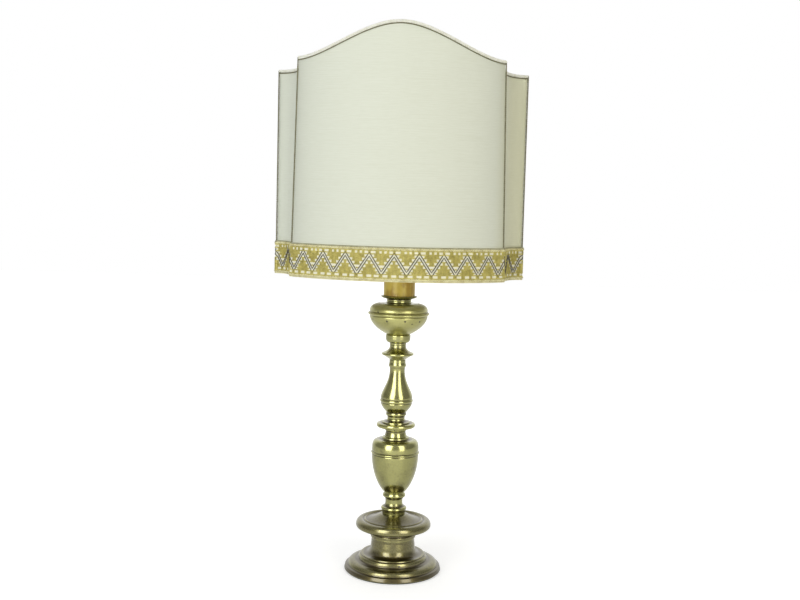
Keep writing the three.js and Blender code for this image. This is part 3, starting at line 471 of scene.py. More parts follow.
def addPiece(name, points, quads, finish, body, stands=(), uv=None, hollow=None, weld=False,
             flip=False):
    if flip:
        quads = quads[:, ::-1]
        uv = None if uv is None else uv.reshape(-1, 4, 2)[:, ::-1].reshape(-1, 2)
    mesh = bpy.data.meshes.new(name)
    mesh.from_pydata((points.reshape(-1, 3) * mm).tolist(), [], quads.tolist())
    if uv is not None:
        mesh.uv_layers.new(name="laid").data.foreach_set("uv", (uv * mm).astype(np.float32).ravel())
    if hollow is not None:
        mark = mesh.attributes.new("hollow", "FLOAT", "POINT")
        mark.data.foreach_set("value", hollow.astype(np.float32).ravel())
    if weld:
        shell = bmesh.new()
        shell.from_mesh(mesh)
        bmesh.ops.remove_doubles(shell, verts=shell.verts, dist=1e-7)
        shell.to_mesh(mesh)
        shell.free()
    mesh.shade_smooth()
    mesh.set_sharp_from_angle(angle=arris)
    made = linked(name, mesh)
    for material in np.atleast_1d(finish).tolist():
        mesh.materials.append(material)
    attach(made, body)
    if stands:
        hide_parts(*stands)
    return made


# outline of a turned piece, followed upwards as a lathe tool would: each cut ends at a radius after a rise.
# A curved cut is a Bezier arc, with its handle on the outside for a swell and on the inside for a hollow.
def outline(start, cuts):
    share = np.linspace(0, 1, 25)[1:, None]
    here = np.array([start, 0.0])
    walked = [here[None]]
    for kind, radius, rise, *handles in cuts:
        low, high = here[1], here[1] + rise
        if kind == "bead":
            grip = np.array([here[0] + 2 * radius, (low + high) / 2])
            radius = here[0]
        inward = radius < here[0]
        there = np.array([radius, high])
        if kind == "line":
            arc = here + share[[-1]] * (there - here)
        elif kind == "sweep":
            first = here + np.array(handles[0])
            second = there + np.array(handles[1]) * (1, -1)
            arc = ((1 - share) ** 3 * here + 3 * share * (1 - share) ** 2 * first
                   + 3 * share ** 2 * (1 - share) * second + share ** 3 * there)
        else:
            if kind == "swell":
                grip = np.array([max(here[0], radius), high if inward else low])
            elif kind == "hollow":
                grip = np.array([min(here[0], radius), low if inward else high])
            arc = (1 - share) ** 2 * here + 2 * share * (1 - share) * grip + share ** 2 * there
        walked.append(arc)
        here = there
    return np.vstack(walked)


# the outline walked at even steps and averaged with its neighbours, which rounds each arris off
def softened(line, step, rounding, closed=True):
    loop = np.vstack([line, line[:1]]) if closed else line
    walk = walkOf(loop)
    at = np.linspace(0, walk[-1], max(int(walk[-1] / step), 8), endpoint=not closed)
    return averaged(readAt(at, walk, loop), rounding / step, closed)


def averaged(line, width, closed):
    reach = int(4 * width) + 1
    kernel = np.exp(-0.5 * (np.arange(-reach, reach + 1) / width) ** 2)
    kernel = kernel / kernel.sum()
    wide = np.pad(line, ((reach, reach), (0, 0)), mode="wrap" if closed else "edge")
    return np.column_stack([np.convolve(run, kernel, "valid") for run in wide.T])


# grime lies in grooves, on ledges and below a soiled level
grime = {"breadth": 1.5, "ledgeFrom": 0.75, "ledgeMost": 0.25, "share": 0.6}


# how far a point lies inside the broad form round it, in millimetres: above 0 in a groove, below on an arris
def hollowOf(line, step, closed):
    broad = averaged(line, grime["breadth"] / step, closed)
    along = np.gradient(line, axis=0)
    out = np.column_stack([along[:, 1], -along[:, 0]]) / np.maximum(np.hypot(*along.T), 1e-9)[:, None]
    return ((broad - line) * out).sum(1)


# a profile turned about Z: x = r cos a, y = r sin a, with r changed by ripple where a thread or knurl runs
def turned(name, line, finish, body, stands, sides=72, level=0.0, step=0.5, rounding=0.35, closed=True,
           ripple=None, soil=0.0, dirt=1.0):
    line = softened(line, step, rounding, closed)
    if not closed:
        line[[0, -1], 0] = 0
    along = np.gradient(line, axis=0)
    flatness = -along[:, 0] / np.maximum(np.hypot(*along.T), 1e-9)
    ledge = np.clip(flatness - grime["ledgeFrom"], 0, grime["ledgeMost"])
    inward = hollowOf(line, step, closed)
    soiled = grime["share"] * (line[:, 1] < soil) + grime["share"] * dirt * ledge
    hollow = np.repeat((np.where(inward > 0, dirt, 1.0) * inward + soiled)[:, None], sides, 1)
    angle = np.arange(sides) * turn / sides
    radius = np.repeat(line[:, :1], sides, 1)
    height = np.repeat(line[:, 1:], sides, 1)
    if ripple is not None:
        radius = radius + ripple(radius, height, angle[None])
    points = np.stack([radius * np.cos(angle), radius * np.sin(angle), height + level], -1)
    quads = gridQuads(len(line), sides, closed, True)
    laid = crossed(np.arange(len(line) + closed) * step, np.linspace(0, onceRound, sides + 1))
    return addPiece(name, points, quads, finish, body, stands, gridUv(laid), hollow, not closed)


# inside of a column piece: a spigot on top, the bore for the tie tube, and the recess for the spigot below
joint = {"bore": 5.4, "spigot": 8.0, "spigotRise": 2.4, "recess": 8.3, "recessDepth": 2.7}


def insideOf(top, spigot=True):
    bore, wide, up = joint["bore"], joint["spigot"], top + joint["spigotRise"]
    recess, deep = joint["recess"], joint["recessDepth"]
    head = [(wide, top), (wide, up), (bore, up)] if spigot else [(bore, top)]
    return head + [(bore, deep), (recess, deep), (recess, 0)]


def columnPiece(name, made, sides=72, spigot=True):
    line = outline(made["start"], made["cuts"])
    inside = made.get("core") or insideOf(line[-1, 1], spigot)
    piece = turned(name + "_turned", np.vstack([line, inside]), made["finish"], "stand", [name],
                   sides, made["level"], soil=made.get("soil", 0.0), dirt=made.get("dirt", 1.0))
    if "bright" in made:
        brightenBands(piece.data, made)
    return piece


# bands above and below a dull belly keep their turned polish
def brightenBands(mesh, made):
    centre = np.empty(3 * len(mesh.polygons), np.float32)
    mesh.polygons.foreach_get("center", centre)
    rise = centre[2::3] / mm - made["level"]
    belly = (rise > made["belly"][0]) & (rise < made["belly"][1])
    mesh.materials.append(made["bright"])
    mesh.polygons.foreach_set("material_index", (~belly).astype(np.int32))


# foot: plain rim, ledge, two ovolos, fillet and a drum that flares into them; cored underneath
foot = {"level": 1.5, "start": 61.7, "finish": brassDark, "soil": 6.0,
        "cuts": [("swell", 62.7, 1.0), ("line", 61.8, 3.4), ("swell", 60.6, 1.2), ("line", 58.2, 0.5),
                 ("swell", 47.4, 6.8), ("line", 44.4, 0.8), ("swell", 40.9, 5.7), ("line", 40.9, 1.4),
                 ("line", 36.8, 0.0), ("hollow", 28.6, 11.2), ("line", 27.8, 7.0), ("line", 28.2, 4.0)],
        "core": [(8.0, 43.0), (8.0, 45.4), (5.4, 45.4), (5.4, 37.2), (23.6, 37.2), (23.6, 24.0), (57.1, 0.0)]}
tray = {"level": 44.6, "start": 29.4, "finish": brassDark,
        "cuts": [("line", 29.4, 4.2), ("line", 28.4, 0.6), ("hollow", 40.5, 6.2), ("swell", 48.7, 4.2),
                 ("swell", 41.2, 7.5), ("line", 38.6, -1.0), ("line", 36.8, 1.6), ("line", 35.4, -1.2),
                 ("sweep", 17.0, 7.4, (-7.0, 1.2), (5.0, 3.2))]}
lowerKnop = {"level": 74.2, "start": 14.8, "finish": brassWorn,
             "cuts": [("hollow", 15.4, 5.6), ("bead", 1.2, 4.2), ("hollow", 11.2, 6.4), ("hollow", 14.1, 6.6),
                      ("bead", 0.8, 4.0), ("line", 13.5, 1.2)]}
vase = {"level": 102.3, "start": 13.5, "finish": brassWorn,
        "cuts": [("line", 13.5, 1.0), ("sweep", 30.3, 50.0, (7.5, 7.0), (0.1, 24.4)), ("line", 29.8, 0.6),
                 ("bead", 1.6, 3.2), ("line", 30.3, 0.6), ("sweep", 23.0, 14.8, (0.2, 10.2), (6.4, 0.6)),
                 ("hollow", 17.5, 1.4), ("line", 17.5, 1.6), ("line", 15.6, 0.6)]}
midCollar = {"level": 176.2, "start": 14.4, "finish": brassCast,
             "cuts": [("line", 13.0, 5.2), ("hollow", 13.9, 3.2), ("line", 14.2, 0.0), ("line", 14.2, 2.2),
                      ("hollow", 22.4, 1.6), ("swell", 25.0, 2.8), ("swell", 22.2, 2.8), ("line", 18.2, 0.3),
                      ("line", 18.2, 1.5), ("hollow", 11.3, 3.6)]}
baluster = {"level": 199.5, "start": 11.3, "finish": brassWorn,
            "cuts": [("line", 11.3, 1.4), ("hollow", 13.2, 3.2), ("line", 13.2, 2.6), ("line", 12.6, 0.8),
                     ("sweep", 20.4, 12.6, (2.4, 3.2), (-1.0, 5.6)), ("line", 19.9, 0.6), ("bead", 1.4, 5.0),
                     ("line", 20.4, 0.6), ("sweep", 9.8, 35.6, (0.3, 9.2), (0.2, 16.5)),
                     ("hollow", 10.5, 4.6), ("bead", 0.8, 5.2), ("line", 10.5, 4.2)]}
upperCollar = {"level": 276.0, "start": 10.5, "finish": brassCast, "dirt": 0.3,
               "cuts": [("line", 10.5, 0.6), ("line", 18.6, 5.3), ("swell", 20.6, 1.8), ("swell", 19.0, 1.6),
                        ("sweep", 10.5, 7.1, (-5.0, 2.0), (1.0, 3.0)), ("line", 10.5, 3.0)]}
upperKnop = {"level": 295.5, "start": 10.6, "finish": brassPitted, "dirt": 0.5, "bright": brassWorn,
             "belly": (13.2, 53.4),
             "cuts": [("line", 10.6, 2.6), ("swell", 15.9, 6.2), ("line", 16.1, 3.8), ("line", 14.5, 0.8),
                      ("sweep", 37.2, 23.6, (11.0, 5.2), (-1.3, 10.3)), ("line", 36.6, 0.8),
                      ("bead", 2.8, 5.0), ("line", 37.2, 0.8), ("sweep", 18.4, 10.3, (0.4, 7.0), (12.6, 0.5)),
                      ("hollow", 15.8, 1.0), ("line", 15.8, 1.3)]}
dripPan = {"level": 351.8, "start": 15.8, "finish": brassCast,
           "cuts": [("line", 15.8, 2.4), ("line", 22.8, 2.2), ("line", 24.0, 1.6), ("line", 22.2, -0.6),
                    ("line", 20.8, 1.2)]}

footTurned = columnPiece("foot", foot, 96)
columnPiece("drip_tray", tray, 96)
columnPiece("lower_knop", lowerKnop)
columnPiece("vase", vase)
columnPiece("mid_collar", midCollar)
columnPiece("baluster", baluster)
columnPiece("upper_collar", upperCollar)
columnPiece("upper_knop", upperKnop, 96)
columnPiece("drip_pan", dripPan, spigot=False)

# hole and spot face at the back of the foot, and the bush in it for a lead
bush = {"level": 12.0, "hole": 4.5, "holeFrom": 20.0, "face": 5.5, "faceFrom": 51.5, "to": 68.0, "sides": 40,
        "outline": [(3.0, 41.0), (4.2, 41.0), (4.2, 51.8), (5.2, 51.8), (5.2, 53.8), (3.0, 53.8)]}


def laidBack(obj):
    # turned about Z, then laid along Y at the bush's level
    obj.data.transform(Matrix.Translation((0, 0, bush["level"] * mm)) @ Matrix.Rotation(-np.pi / 2, 4, "X"))


def boredFoot():
    angle = np.arange(bush["sides"]) * turn / bush["sides"]
    low, high = np.arange(2 * bush["sides"]).reshape(2, -1).tolist()
    faces = gridQuads(2, bush["sides"], False, True).tolist() + [low[::-1], high]
    for radius, start in ((bush["hole"], bush["holeFrom"]), (bush["face"], bush["faceFrom"])):
        rings = [np.column_stack([radius * np.cos(angle), radius * np.sin(angle), np.full(len(angle), z)])
                 for z in (start, bush["to"])]
        mesh = bpy.data.meshes.new("drill")
        mesh.from_pydata((np.vstack(rings) * mm).tolist(), [], faces)
        drill = linked("drill", mesh)
        laidBack(drill)
        cut = footTurned.modifiers.new("bore", "BOOLEAN")
        cut.object = drill
        cut.solver = "EXACT"
        bored = footTurned.evaluated_get(bpy.context.evaluated_depsgraph_get())
        footTurned.data = bpy.data.meshes.new_from_object(bored)
        footTurned.modifiers.clear()
        bpy.data.objects.remove(drill)
    footTurned.data.set_sharp_from_angle(angle=arris)


boredFoot()
laidBack(turned("cable_bush_turned", np.array(bush["outline"]), bakeliteBrown, "stand",
                ["cable_bush"], bush["sides"], 0.0, 0.3, 0.2))
print("column turned")


# section of a ring or tube: out along its foot, up, and in along its top
def tube(inner, outer, height):
    return np.array([(inner, 0), (outer, 0), (outer, height), (inner, height)])


# felt under the foot
felt = {"radius": 60.5, "thickness": 1.5}
turned("felt_pad_cut", tube(0, felt["radius"], felt["thickness"]), feltGreen, "stand", ["felt_pad"],
       96, 0.0, 0.5, 0.3, False)

# mock candle, and the lampholder in its top with the nut that holds the shade
candle = {"radius": 20.0, "bore": 18.3, "level": 358.7, "height": 65.0}
turned("candle_sleeve_rolled", np.roll(tube(candle["bore"], candle["radius"], candle["height"]), -1, 0),
       candleWax, "stand", ["candle_sleeve"], 72, candle["level"], 0.6, 0.3)

holder = {"level": 409.8, "pitch": 2.4, "depth": 0.5, "wall": 19.0, "threadFrom": 17.6, "threadTo": 31.2,
          "outline": [(13.8, 0), (18.0, 0), (18.0, 14.0), (22.5, 14.0), (22.5, 16.5), (19.4, 16.5),
                      (19.4, 31.9), (13.8, 31.9)]}
ringNut = {"level": 428.9, "inner": 19.7, "outer": 26.3, "height": 6.0, "ribs": 36, "ribDepth": 0.7,
           "wall": 25.3}


# a helix: one crest for each pitch of climb, cut only into the outer wall between two heights
def threadOf(cut):
    def ripple(radius, height, angle):
        crest = 0.5 + 0.5 * np.cos(turn * height / cut["pitch"] - angle)
        outside = (radius > cut["wall"]) & (height > cut["threadFrom"]) & (height < cut["threadTo"])
        return -cut["depth"] * crest * outside
    return ripple


def nutRibs(radius, height, angle):
    notch = (0.5 + 0.5 * np.cos(ringNut["ribs"] * angle)) ** 3
    return -ringNut["ribDepth"] * notch * (radius > ringNut["wall"])


turned("holder_skirt_moulded", np.array(holder["outline"]), bakeliteBrown, "stand",
       ["holder_skirt"], 72, holder["level"], 0.4, 0.25, True, threadOf(holder))
turned("ring_nut_moulded", tube(ringNut["inner"], ringNut["outer"], ringNut["height"]), bakeliteBrown,
       "stand", ["ring_nut"], 252, ringNut["level"], 0.6, 0.4, True, nutRibs)

# bulb: threaded cap and an opal globe
bulbCap = {"level": 426.1, "radius": 13.1, "bore": 12.1, "length": 22.6, "pitch": 3.63, "depth": 0.8,
           "wall": 12.6, "threadFrom": 1.5, "threadTo": 18.5}
globe = {"level": 449.0, "neck": 14.0, "neckRise": 8.0, "foot": 13.1, "radius": 30.0, "centre": 47.0,
         "wall": 1.0}


def globeLine(inset):
    # from the foot up the neck, round the globe to its top
    radius, neck = globe["radius"] - inset, globe["neck"] - inset
    arc = np.linspace(0, np.pi / 2, 40)
    top = np.column_stack([radius * np.cos(arc), globe["centre"] + radius * np.sin(arc)])
    climb = outline(globe["foot"] - inset, [("line", neck, globe["neckRise"]),
                    ("sweep", radius, globe["centre"] - globe["neckRise"],
                     (0, globe["centre"] - radius - globe["neckRise"]), (0, radius / 2))])
    return np.vstack([climb, top[1:]])


turned("bulb_cap_rolled", np.roll(tube(bulbCap["bore"], bulbCap["radius"], bulbCap["length"]), -1, 0),
       capNickel, "bulb", ["bulb_cap"], 72, bulbCap["level"], 0.3, 0.2, True, threadOf(bulbCap))
turned("bulb_glass_blown", np.vstack([globeLine(globe["wall"])[::-1], globeLine(0.0)]), opalGlass, "bulb",
       ["bulb_glass"], 72, globe["level"], 0.9, 0.5, False)
print("lampholder and bulb made")

# what stays as the CAD made it, out of sight or small, gets its finish
kept = {"tie_tube": steelGrey, "foot_washer": steelGrey, "top_washer": steelGrey, "foot_nut": brassPlain,
        "top_nut": brassPlain, "holder_cap": brassPlain, "centre_contact": brassPlain,
        "holder_insert": porcelainWhite, "bulb_tip": capNickel, "bulb_insulator": bakeliteBrown}
for label, material in kept.items():
    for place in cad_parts[label].material_slots:
        place.material = material

# plan of the shade, in millimetres above its hem
plan = {"hem": 387.6, "radius": 190.0, "centre": 34.0, "halfAngle": 40.8, "lean": 5.2, "coveWidth": 24.6,
        "coveDepth": 50.2, "sideHeight": 242.6, "cornerHeight": 252.6, "crown": 290.2, "crownHandle": 40.0,
        "cornerHandle": 34.0, "cloth": 0.5}
hem, bow, sideTop, cornerTop = [plan[key] for key in ("hem", "radius", "sideHeight", "cornerHeight")]
hemHalf = bow * np.sin(np.radians(plan["halfAngle"]))
sideX = hemHalf + plan["coveWidth"]
sideY = plan["centre"] - bow * np.cos(np.radians(plan["halfAngle"])) + plan["coveDepth"]
frontReach = bow - plan["centre"]
quarters = {"front_right": (1, 1), "front_left": (-1, 1), "back_right": (1, -1), "back_left": (-1, -1)}


def edgeX(z):
    return hemHalf - plan["lean"] * z / cornerTop


def edgeY(z):
    return plan["centre"] - np.sqrt(bow ** 2 - edgeX(z) ** 2)


# corners in plan: a direction halfway between two faces, lengthened so that both stand off alike
def mitre(first, second):
    both = np.asarray(first) + second
    return both * 2 / (both ** 2).sum(-1, keepdims=True)


def frontCorner(z):
    spot = np.stack([edgeX(z), edgeY(z)], -1)
    return spot, mitre((spot - (0, plan["centre"])) / bow, (1, 0))


def sideCorner(z):
    return np.tile([sideX, sideY], (len(z), 1)), np.tile([1.0, -1.0], (len(z), 1))


# the top edge falls from the crown to the corner along a serpentine, a cubic Bezier in x and z
def topHeight(x):
    share = np.linspace(0, 1, 400)
    corner = edgeX(cornerTop)
    across = (3 * share * (1 - share) ** 2 * plan["crownHandle"]
              + 3 * share ** 2 * (1 - share) * (corner - plan["cornerHandle"]) + share ** 3 * corner)
    fall = 3 * share ** 2 * (1 - share) + share ** 3
    return np.interp(np.abs(x), across, plan["crown"] - fall * (plan["crown"] - cornerTop))


# front: an upright cylinder centred behind the lamp's axis; u runs from edge to edge, v from the hem to the
# serpentine
def frontSurface(u, v):
    lowAngle = u * np.arcsin(edgeX(0) / bow)
    highAngle = u * np.arcsin(edgeX(cornerTop) / bow)
    angle = lowAngle + (highAngle - lowAngle) * v
    z = v * topHeight(bow * np.sin(highAngle))
    point = np.stack([bow * np.sin(angle), plan["centre"] - bow * np.cos(angle), z], -1)
    out = np.stack([np.sin(angle), -np.cos(angle), 0 * angle], -1)
    return point, out, np.stack([bow * angle, z], -1)


# length of a quarter ellipse by its two half axes, near enough
def quarterLength(wide, deep):
    return np.pi / 4 * (3 * (wide + deep) - np.sqrt((3 * wide + deep) * (wide + 3 * deep)))


# cove: a quarter ellipse from the front's edge in to the side corner; u runs round it, v up it
def coveSurface(u, v):
    z = v * sideTop
    wide, deep = sideX - edgeX(z), sideY - edgeY(z)
    angle = u * np.pi / 2
    point = np.stack([sideX - wide * np.cos(angle), edgeY(z) + deep * np.sin(angle), z], -1)
    out = np.stack([deep * np.cos(angle), -wide * np.sin(angle), 0 * z], -1)
    laid = np.stack([quarterLength(wide, deep) * u, z], -1)
    return point, unit(out), laid


# side: flat, from the front corner to the back corner
def sideSurface(u, v):
    point = np.stack([0 * u + sideX, sideY + u * -2 * sideY, v * sideTop], -1)
    return point, np.stack([0 * u + 1, 0 * u, 0 * u], -1), np.stack([u * -2 * sideY, point[..., 2]], -1)


# cloth stretched on the frame: the surface with a skin on each side of it, drawn in a little between
# the stitches along its upright edges
cloth = {"pucker": 0.28, "puckerReach": 5.0, "stitch": 6.5, "sag": 0.5, "edgeShadeReach": 0.045}


def clothPanel(name, surface, low, high, columns, rows, mirror, flat, area):
    u, v = np.meshgrid(np.linspace(low, high, columns), np.linspace(0, 1, rows))
    point, out, laid = surface(u, v)
    fromEdge = np.minimum(laid[..., 0] - laid[..., :1, 0], laid[..., -1:, 0] - laid[..., 0])
    stitch = 0.5 + 0.5 * np.cos(turn * laid[..., 1] / cloth["stitch"])
    dip = -cloth["pucker"] * stitch * np.exp(-fromEdge / cloth["puckerReach"])
    dip = dip - cloth["sag"] * np.sin(np.pi * (u - low) / (high - low)) * np.sin(np.pi * v) ** 0.5
    middle = point + out * dip[..., None] + (0, 0, hem)
    skin = out * plan["cloth"]
    skins = np.concatenate([middle + skin, (middle - skin)[::-1]]) * (*mirror, 1)
    quads = gridQuads(2 * rows, columns, True)
    strip = np.arange(rows - 1)
    ends = [np.stack([(2 * rows - 1 - strip) * columns + at, strip * columns + at, (strip + 1) * columns + at,
                      (2 * rows - 2 - strip) * columns + at], -1) for at in (0, columns - 1)]
    quads = np.vstack([quads, ends[0], ends[1][:, ::-1]])
    whole = np.concatenate([laid, laid[::-1]])
    uv = whole.reshape(-1, 2)[quads].reshape(-1, 2)
    # a painted shade along the panel's upright edges, passed to the silk in the hollow mark
    edgeShade = np.exp(-fromEdge / (cloth["edgeShadeReach"] * np.ptp(laid[..., 0])))
    made = addPiece(name + "_cloth", skins, quads, [silkCloth, liningCloth], "shade", [name], uv,
                    np.concatenate([edgeShade, edgeShade[::-1]]), flip=mirror[0] * mirror[1] < 0)
    lining = np.zeros(len(quads), np.int32)
    lining[rows * (columns - 1):(2 * rows - 1) * (columns - 1)] = 1
    made.data.polygons.foreach_set("material_index", lining)


# the flat piece that a panel is cut from: its width, height and area in metres
def flatPiece(surface, low):
    laid = surface(*np.meshgrid(np.linspace(low, 1, 160), np.linspace(0, 1, 160)))[2]
    across = np.diff(laid[..., 0], axis=1)[:-1]
    size = [float(np.ptp(laid[..., k])) * mm for k in (0, 1)]
    return size, float((across * np.diff(laid[..., 1], axis=0)[:, 1:]).sum()) * mm * mm


for label, back in (("front", 1), ("back", -1)):
    clothPanel(label + "_panel", frontSurface, -0.999, 0.999, 121, 121, (1, back),
               *flatPiece(frontSurface, -1))
for label, side in (("right", 1), ("left", -1)):
    clothPanel(label + "_panel", sideSurface, 0.002, 0.998, 41, 101, (side, 1), *flatPiece(sideSurface, 0))
for label, mirror in quarters.items():
    clothPanel("cove_" + label, coveSurface, 0.003, 0.997, 33, 101, mirror, *flatPiece(coveSurface, 0))
print("cloth stretched")


# hem line: a quarter of the plan, mirrored round
hemSteps = {"front": 120, "cove": 59, "side": 40}


def hemQuarter(z):
    angle = np.linspace(0, np.arcsin(edgeX(z) / bow), hemSteps["front"])
    frontOut = np.stack([np.sin(angle), -np.cos(angle)], -1)
    front = bow * frontOut + (0, plan["centre"])
    share = np.linspace(0, 1, hemSteps["cove"] + 1)[1:]
    cove, coveOut, _ = coveSurface(share, 0 * share + z / sideTop)
    level = np.linspace(sideY, 0, hemSteps["side"] + 1)[1:]
    side = np.column_stack([0 * level + sideX, level])
    sideOut = np.tile([1.0, 0.0], (len(level), 1))
    frontOut[-1] = mitre(frontOut[-1], (1, 0))
    coveOut[-1, :2] = mitre((0, -1), (1, 0))
    return np.vstack([front, cove[:, :2], side]), np.vstack([frontOut, coveOut[:, :2], sideOut])


def mirrored(line, *signs):
    return np.vstack([line, line[::-1][1:] * (*signs, *signs)])


def hemLoop(z):
    return mirrored(mirrored(np.hstack(hemQuarter(z)), 1, -1), -1, 1)


laceTop = 39.5
lowLoop, highLoop = hemLoop(0.0), hemLoop(laceTop)
hemWalk = walkOf(lowLoop[:, :2])
hemLength = hemWalk[-1]


# a point on the hem: s along it from the front's middle, z above it, off outwards from the cloth's middle
def onHem(s, z, off):
    s, z, off = np.broadcast_arrays(s, z, off)
    share = np.clip(z / laceTop, 0, 1)
    at = s % hemLength
    low, high = [[np.interp(at, hemWalk, run) for run in loop.T] for loop in (lowLoop, highLoop)]
    x, y, outX, outY = [a + (b - a) * share for a, b in zip(low, high)]
    return np.stack([x + outX * off, y + outY * off, z + hem], -1)


# a rod along a path: rings of points square to it, wider or narrower by swell; ends drawn to a point
def rod(path, radius, sides, up, closed=False, swell=None):
    along = np.gradient(path, axis=0)
    if closed:
        along = (np.roll(path, -1, 0) - np.roll(path, 1, 0)) / 2
    along = unit(along)
    across = unit(np.cross(along, up))
    over = np.cross(across, along)
    length = walkOf(path)
    angle = np.arange(sides) * turn / sides
    wide = np.full((len(path), sides), float(radius))
    if swell is not None:
        wide = wide * swell(length[:, None], angle[None])
    spoke = np.cos(angle)[:, None] * across[:, None] + np.sin(angle)[:, None] * over[:, None]
    points = path[:, None] + wide[..., None] * spoke
    if not closed:
        ends = np.repeat(path[[0, -1], None], sides, 1)
        points = np.concatenate([ends[:1], points, ends[1:]])
        length = np.concatenate([length[:1], length, length[-1:]])
    quads = gridQuads(len(points), sides, closed, True)
    reach = np.concatenate([length, [length[-1] + 1]]) if closed else length
    laid = crossed(reach, np.linspace(0, onceRound, sides + 1))
    return points.reshape(-1, 3), quads, gridUv(laid)


# several rods as one piece
def addRods(name, parts, finish, stands=()):
    starts = np.cumsum([0] + [len(points) for points, _, _ in parts])
    moved = [(points, quads + start, uv) for (points, quads, uv), start in zip(parts, starts)]
    points, quads, uv = [np.vstack(run) for run in zip(*moved)]
    addPiece(name, points, quads, finish, "shade", stands, uv, weld=True)


def rope(pitch, depth):
    # two plies wound round each other
    return lambda length, angle: 1 - depth * (0.5 + 0.5 * np.cos(2 * (angle - turn * length / pitch)))


# lace round the hem: a white tape, gold stitches on it, a doubled grey zigzag, and a cord and a thin selvedge
# along each edge
lace = {"periods": 36, "start": -1.3, "low": -0.5, "high": 39.5, "middle": 19.5, "climb": 11.0,
        "whiteHalf": 1.9, "stepHalf": 4.2, "columns": 20, "rows": 24, "eyeletRow": 13.4, "eyeletHalf": 1.4,
        "upperEyelets": (1, 2, 3, 4, 8, 9, 12, 13, 16, 17, 18),
        "lowerEyelets": (18, 19, 0, 1, 4, 5, 6, 7, 11, 12, 13, 14), "stitchSink": 0.05, "stitchRise": 0.85,
        "stitchCrown": (0.72, 0.66), "lineGap": 1.25, "lineRadius": 0.52, "cord": 1.5, "selvedge": 0.6,
        "back": 0.6, "face": 2.0, "tapeSteps": 680, "cordSteps": 1400, "lineSteps": 16}
lacePeriod = hemLength / lace["periods"]


def laceTape():
    steps = lace["tapeSteps"]
    s = np.arange(steps) * hemLength / steps
    section = np.array([(lace["back"], lace["low"]), (lace["face"], lace["low"] + 0.2),
                        (lace["face"], lace["high"] - 0.2), (lace["back"], lace["high"])])
    ring = softened(section, 1.0, 0.3)
    points = onHem(s[None], ring[:, 1:], ring[:, :1])
    rise = np.append(ring[:, 1], ring[0, 1])
    laid = crossed(rise, np.linspace(0, hemLength, steps + 1))[..., ::-1]
    addPiece("hem_lace_tape", points, gridQuads(len(ring), steps, True, True), tapeCloth, "shade",
             ["hem_lace"], gridUv(laid))


def zigzag(s):
    # height of a triangle wave, with a top point near the front's middle
    phase = ((s - lace["start"]) / lacePeriod + 0.5) % 1 - 0.5
    return lace["middle"] + lace["climb"] * (1 - 4 * np.abs(phase))


def fromZigzag(s, z):
    # distance from the zigzag's line, square to its leg
    return (z - zigzag(s)) / np.sqrt(1 + (4 * lace["climb"] / lacePeriod) ** 2)


def laceStitches():
    # each stitch is a small cushion on the tape; none on the white steps beside the zigzag or in the eyelets
    border = 2 * lace["cord"] + 2 * lace["selvedge"] - 0.4
    bottom, top = lace["low"] + border, lace["high"] - border
    wide, tall = lacePeriod / lace["columns"], (top - bottom) / lace["rows"]
    s, z = np.meshgrid((np.arange(lace["columns"] * lace["periods"]) + 0.5) * wide + lace["start"],
                       bottom + (np.arange(lace["rows"]) + 0.5) * tall)
    row = np.round((z - bottom) / tall - 0.5)
    stepZ = bottom + (3 * np.floor(row / 3) + 1.0) * tall
    white = np.abs(fromZigzag(s, z)) < lace["whiteHalf"]
    white |= (np.abs(fromZigzag(s, stepZ)) < lace["stepHalf"]) & (row % 3 < 2)
    gold = ~white | (np.abs(z - lace["middle"]) > lace["climb"] - 0.8)
    # rows of eyelets: dashes and dots above the zigzag, three dashes to a period below it
    column = np.arange(s.shape[1])[None] % lace["columns"]
    upper, lower = np.isin(column, lace["upperEyelets"]), np.isin(column, lace["lowerEyelets"])
    eyelet = np.where(z > lace["middle"], upper, lower)
    eyelet &= np.abs(np.abs(z - lace["middle"]) - lace["eyeletRow"]) < lace["eyeletHalf"]
    spot = np.stack([s, z], -1)[gold & ~eyelet][:, None]
    corner = np.array(square) / 2 * (wide, tall)
    flat, crown = spot + corner, spot + corner * lace["stitchCrown"]
    points = np.concatenate([onHem(flat[..., 0], flat[..., 1], lace["face"] - lace["stitchSink"]),
                             onHem(crown[..., 0], crown[..., 1], lace["face"] + lace["stitchRise"])], 1)
    cushion = np.array([(0, 1, 5, 4), (1, 2, 6, 5), (2, 3, 7, 6), (3, 0, 4, 7), (4, 5, 6, 7), (3, 2, 1, 0)])
    quads = (np.arange(len(spot))[:, None, None] * 8 + cushion).reshape(-1, 4)
    uv = np.concatenate([flat, flat], 1).reshape(-1, 2)[quads].reshape(-1, 2)
    addPiece("hem_lace_stitches", points, quads, goldThread, "shade", (), uv)


def laceLines():
    s = np.arange(lace["periods"] * lace["lineSteps"]) * lacePeriod / lace["lineSteps"] + lace["start"]
    shift = lace["lineGap"] * np.sqrt(1 + (4 * lace["climb"] / lacePeriod) ** 2)
    paths = [onHem(s, zigzag(s) + shift * side, lace["face"] + 0.45) for side in (-1, 1)]
    parts = [rod(path, lace["lineRadius"], 6, (0.31, 0.17, 0.02), True) for path in paths]
    addRods("hem_lace_lines", parts, greyThread)


def laceCords():
    s = np.arange(lace["cordSteps"]) * hemLength / lace["cordSteps"]
    edges = ((lace["low"], 1), (lace["high"], -1))
    thin, thick = lace["selvedge"], lace["cord"]
    cords = [rod(onHem(s, z + way * (2 * thin + thick), lace["face"] + 0.4), thick, 10, (0, 0, 1), True,
                 rope(7.0, 0.55)) for z, way in edges]
    lips = [rod(onHem(s, z + way * thin, lace["face"] + 0.2), thin, 8, (0, 0, 1), True) for z, way in edges]
    addRods("hem_lace_cords", cords + lips[:1], creamCord)
    addRods("hem_lace_selvedge", lips[1:], oliveGimp)


laceTape()
laceStitches()
laceLines()
laceCords()
print("lace laid round the hem")
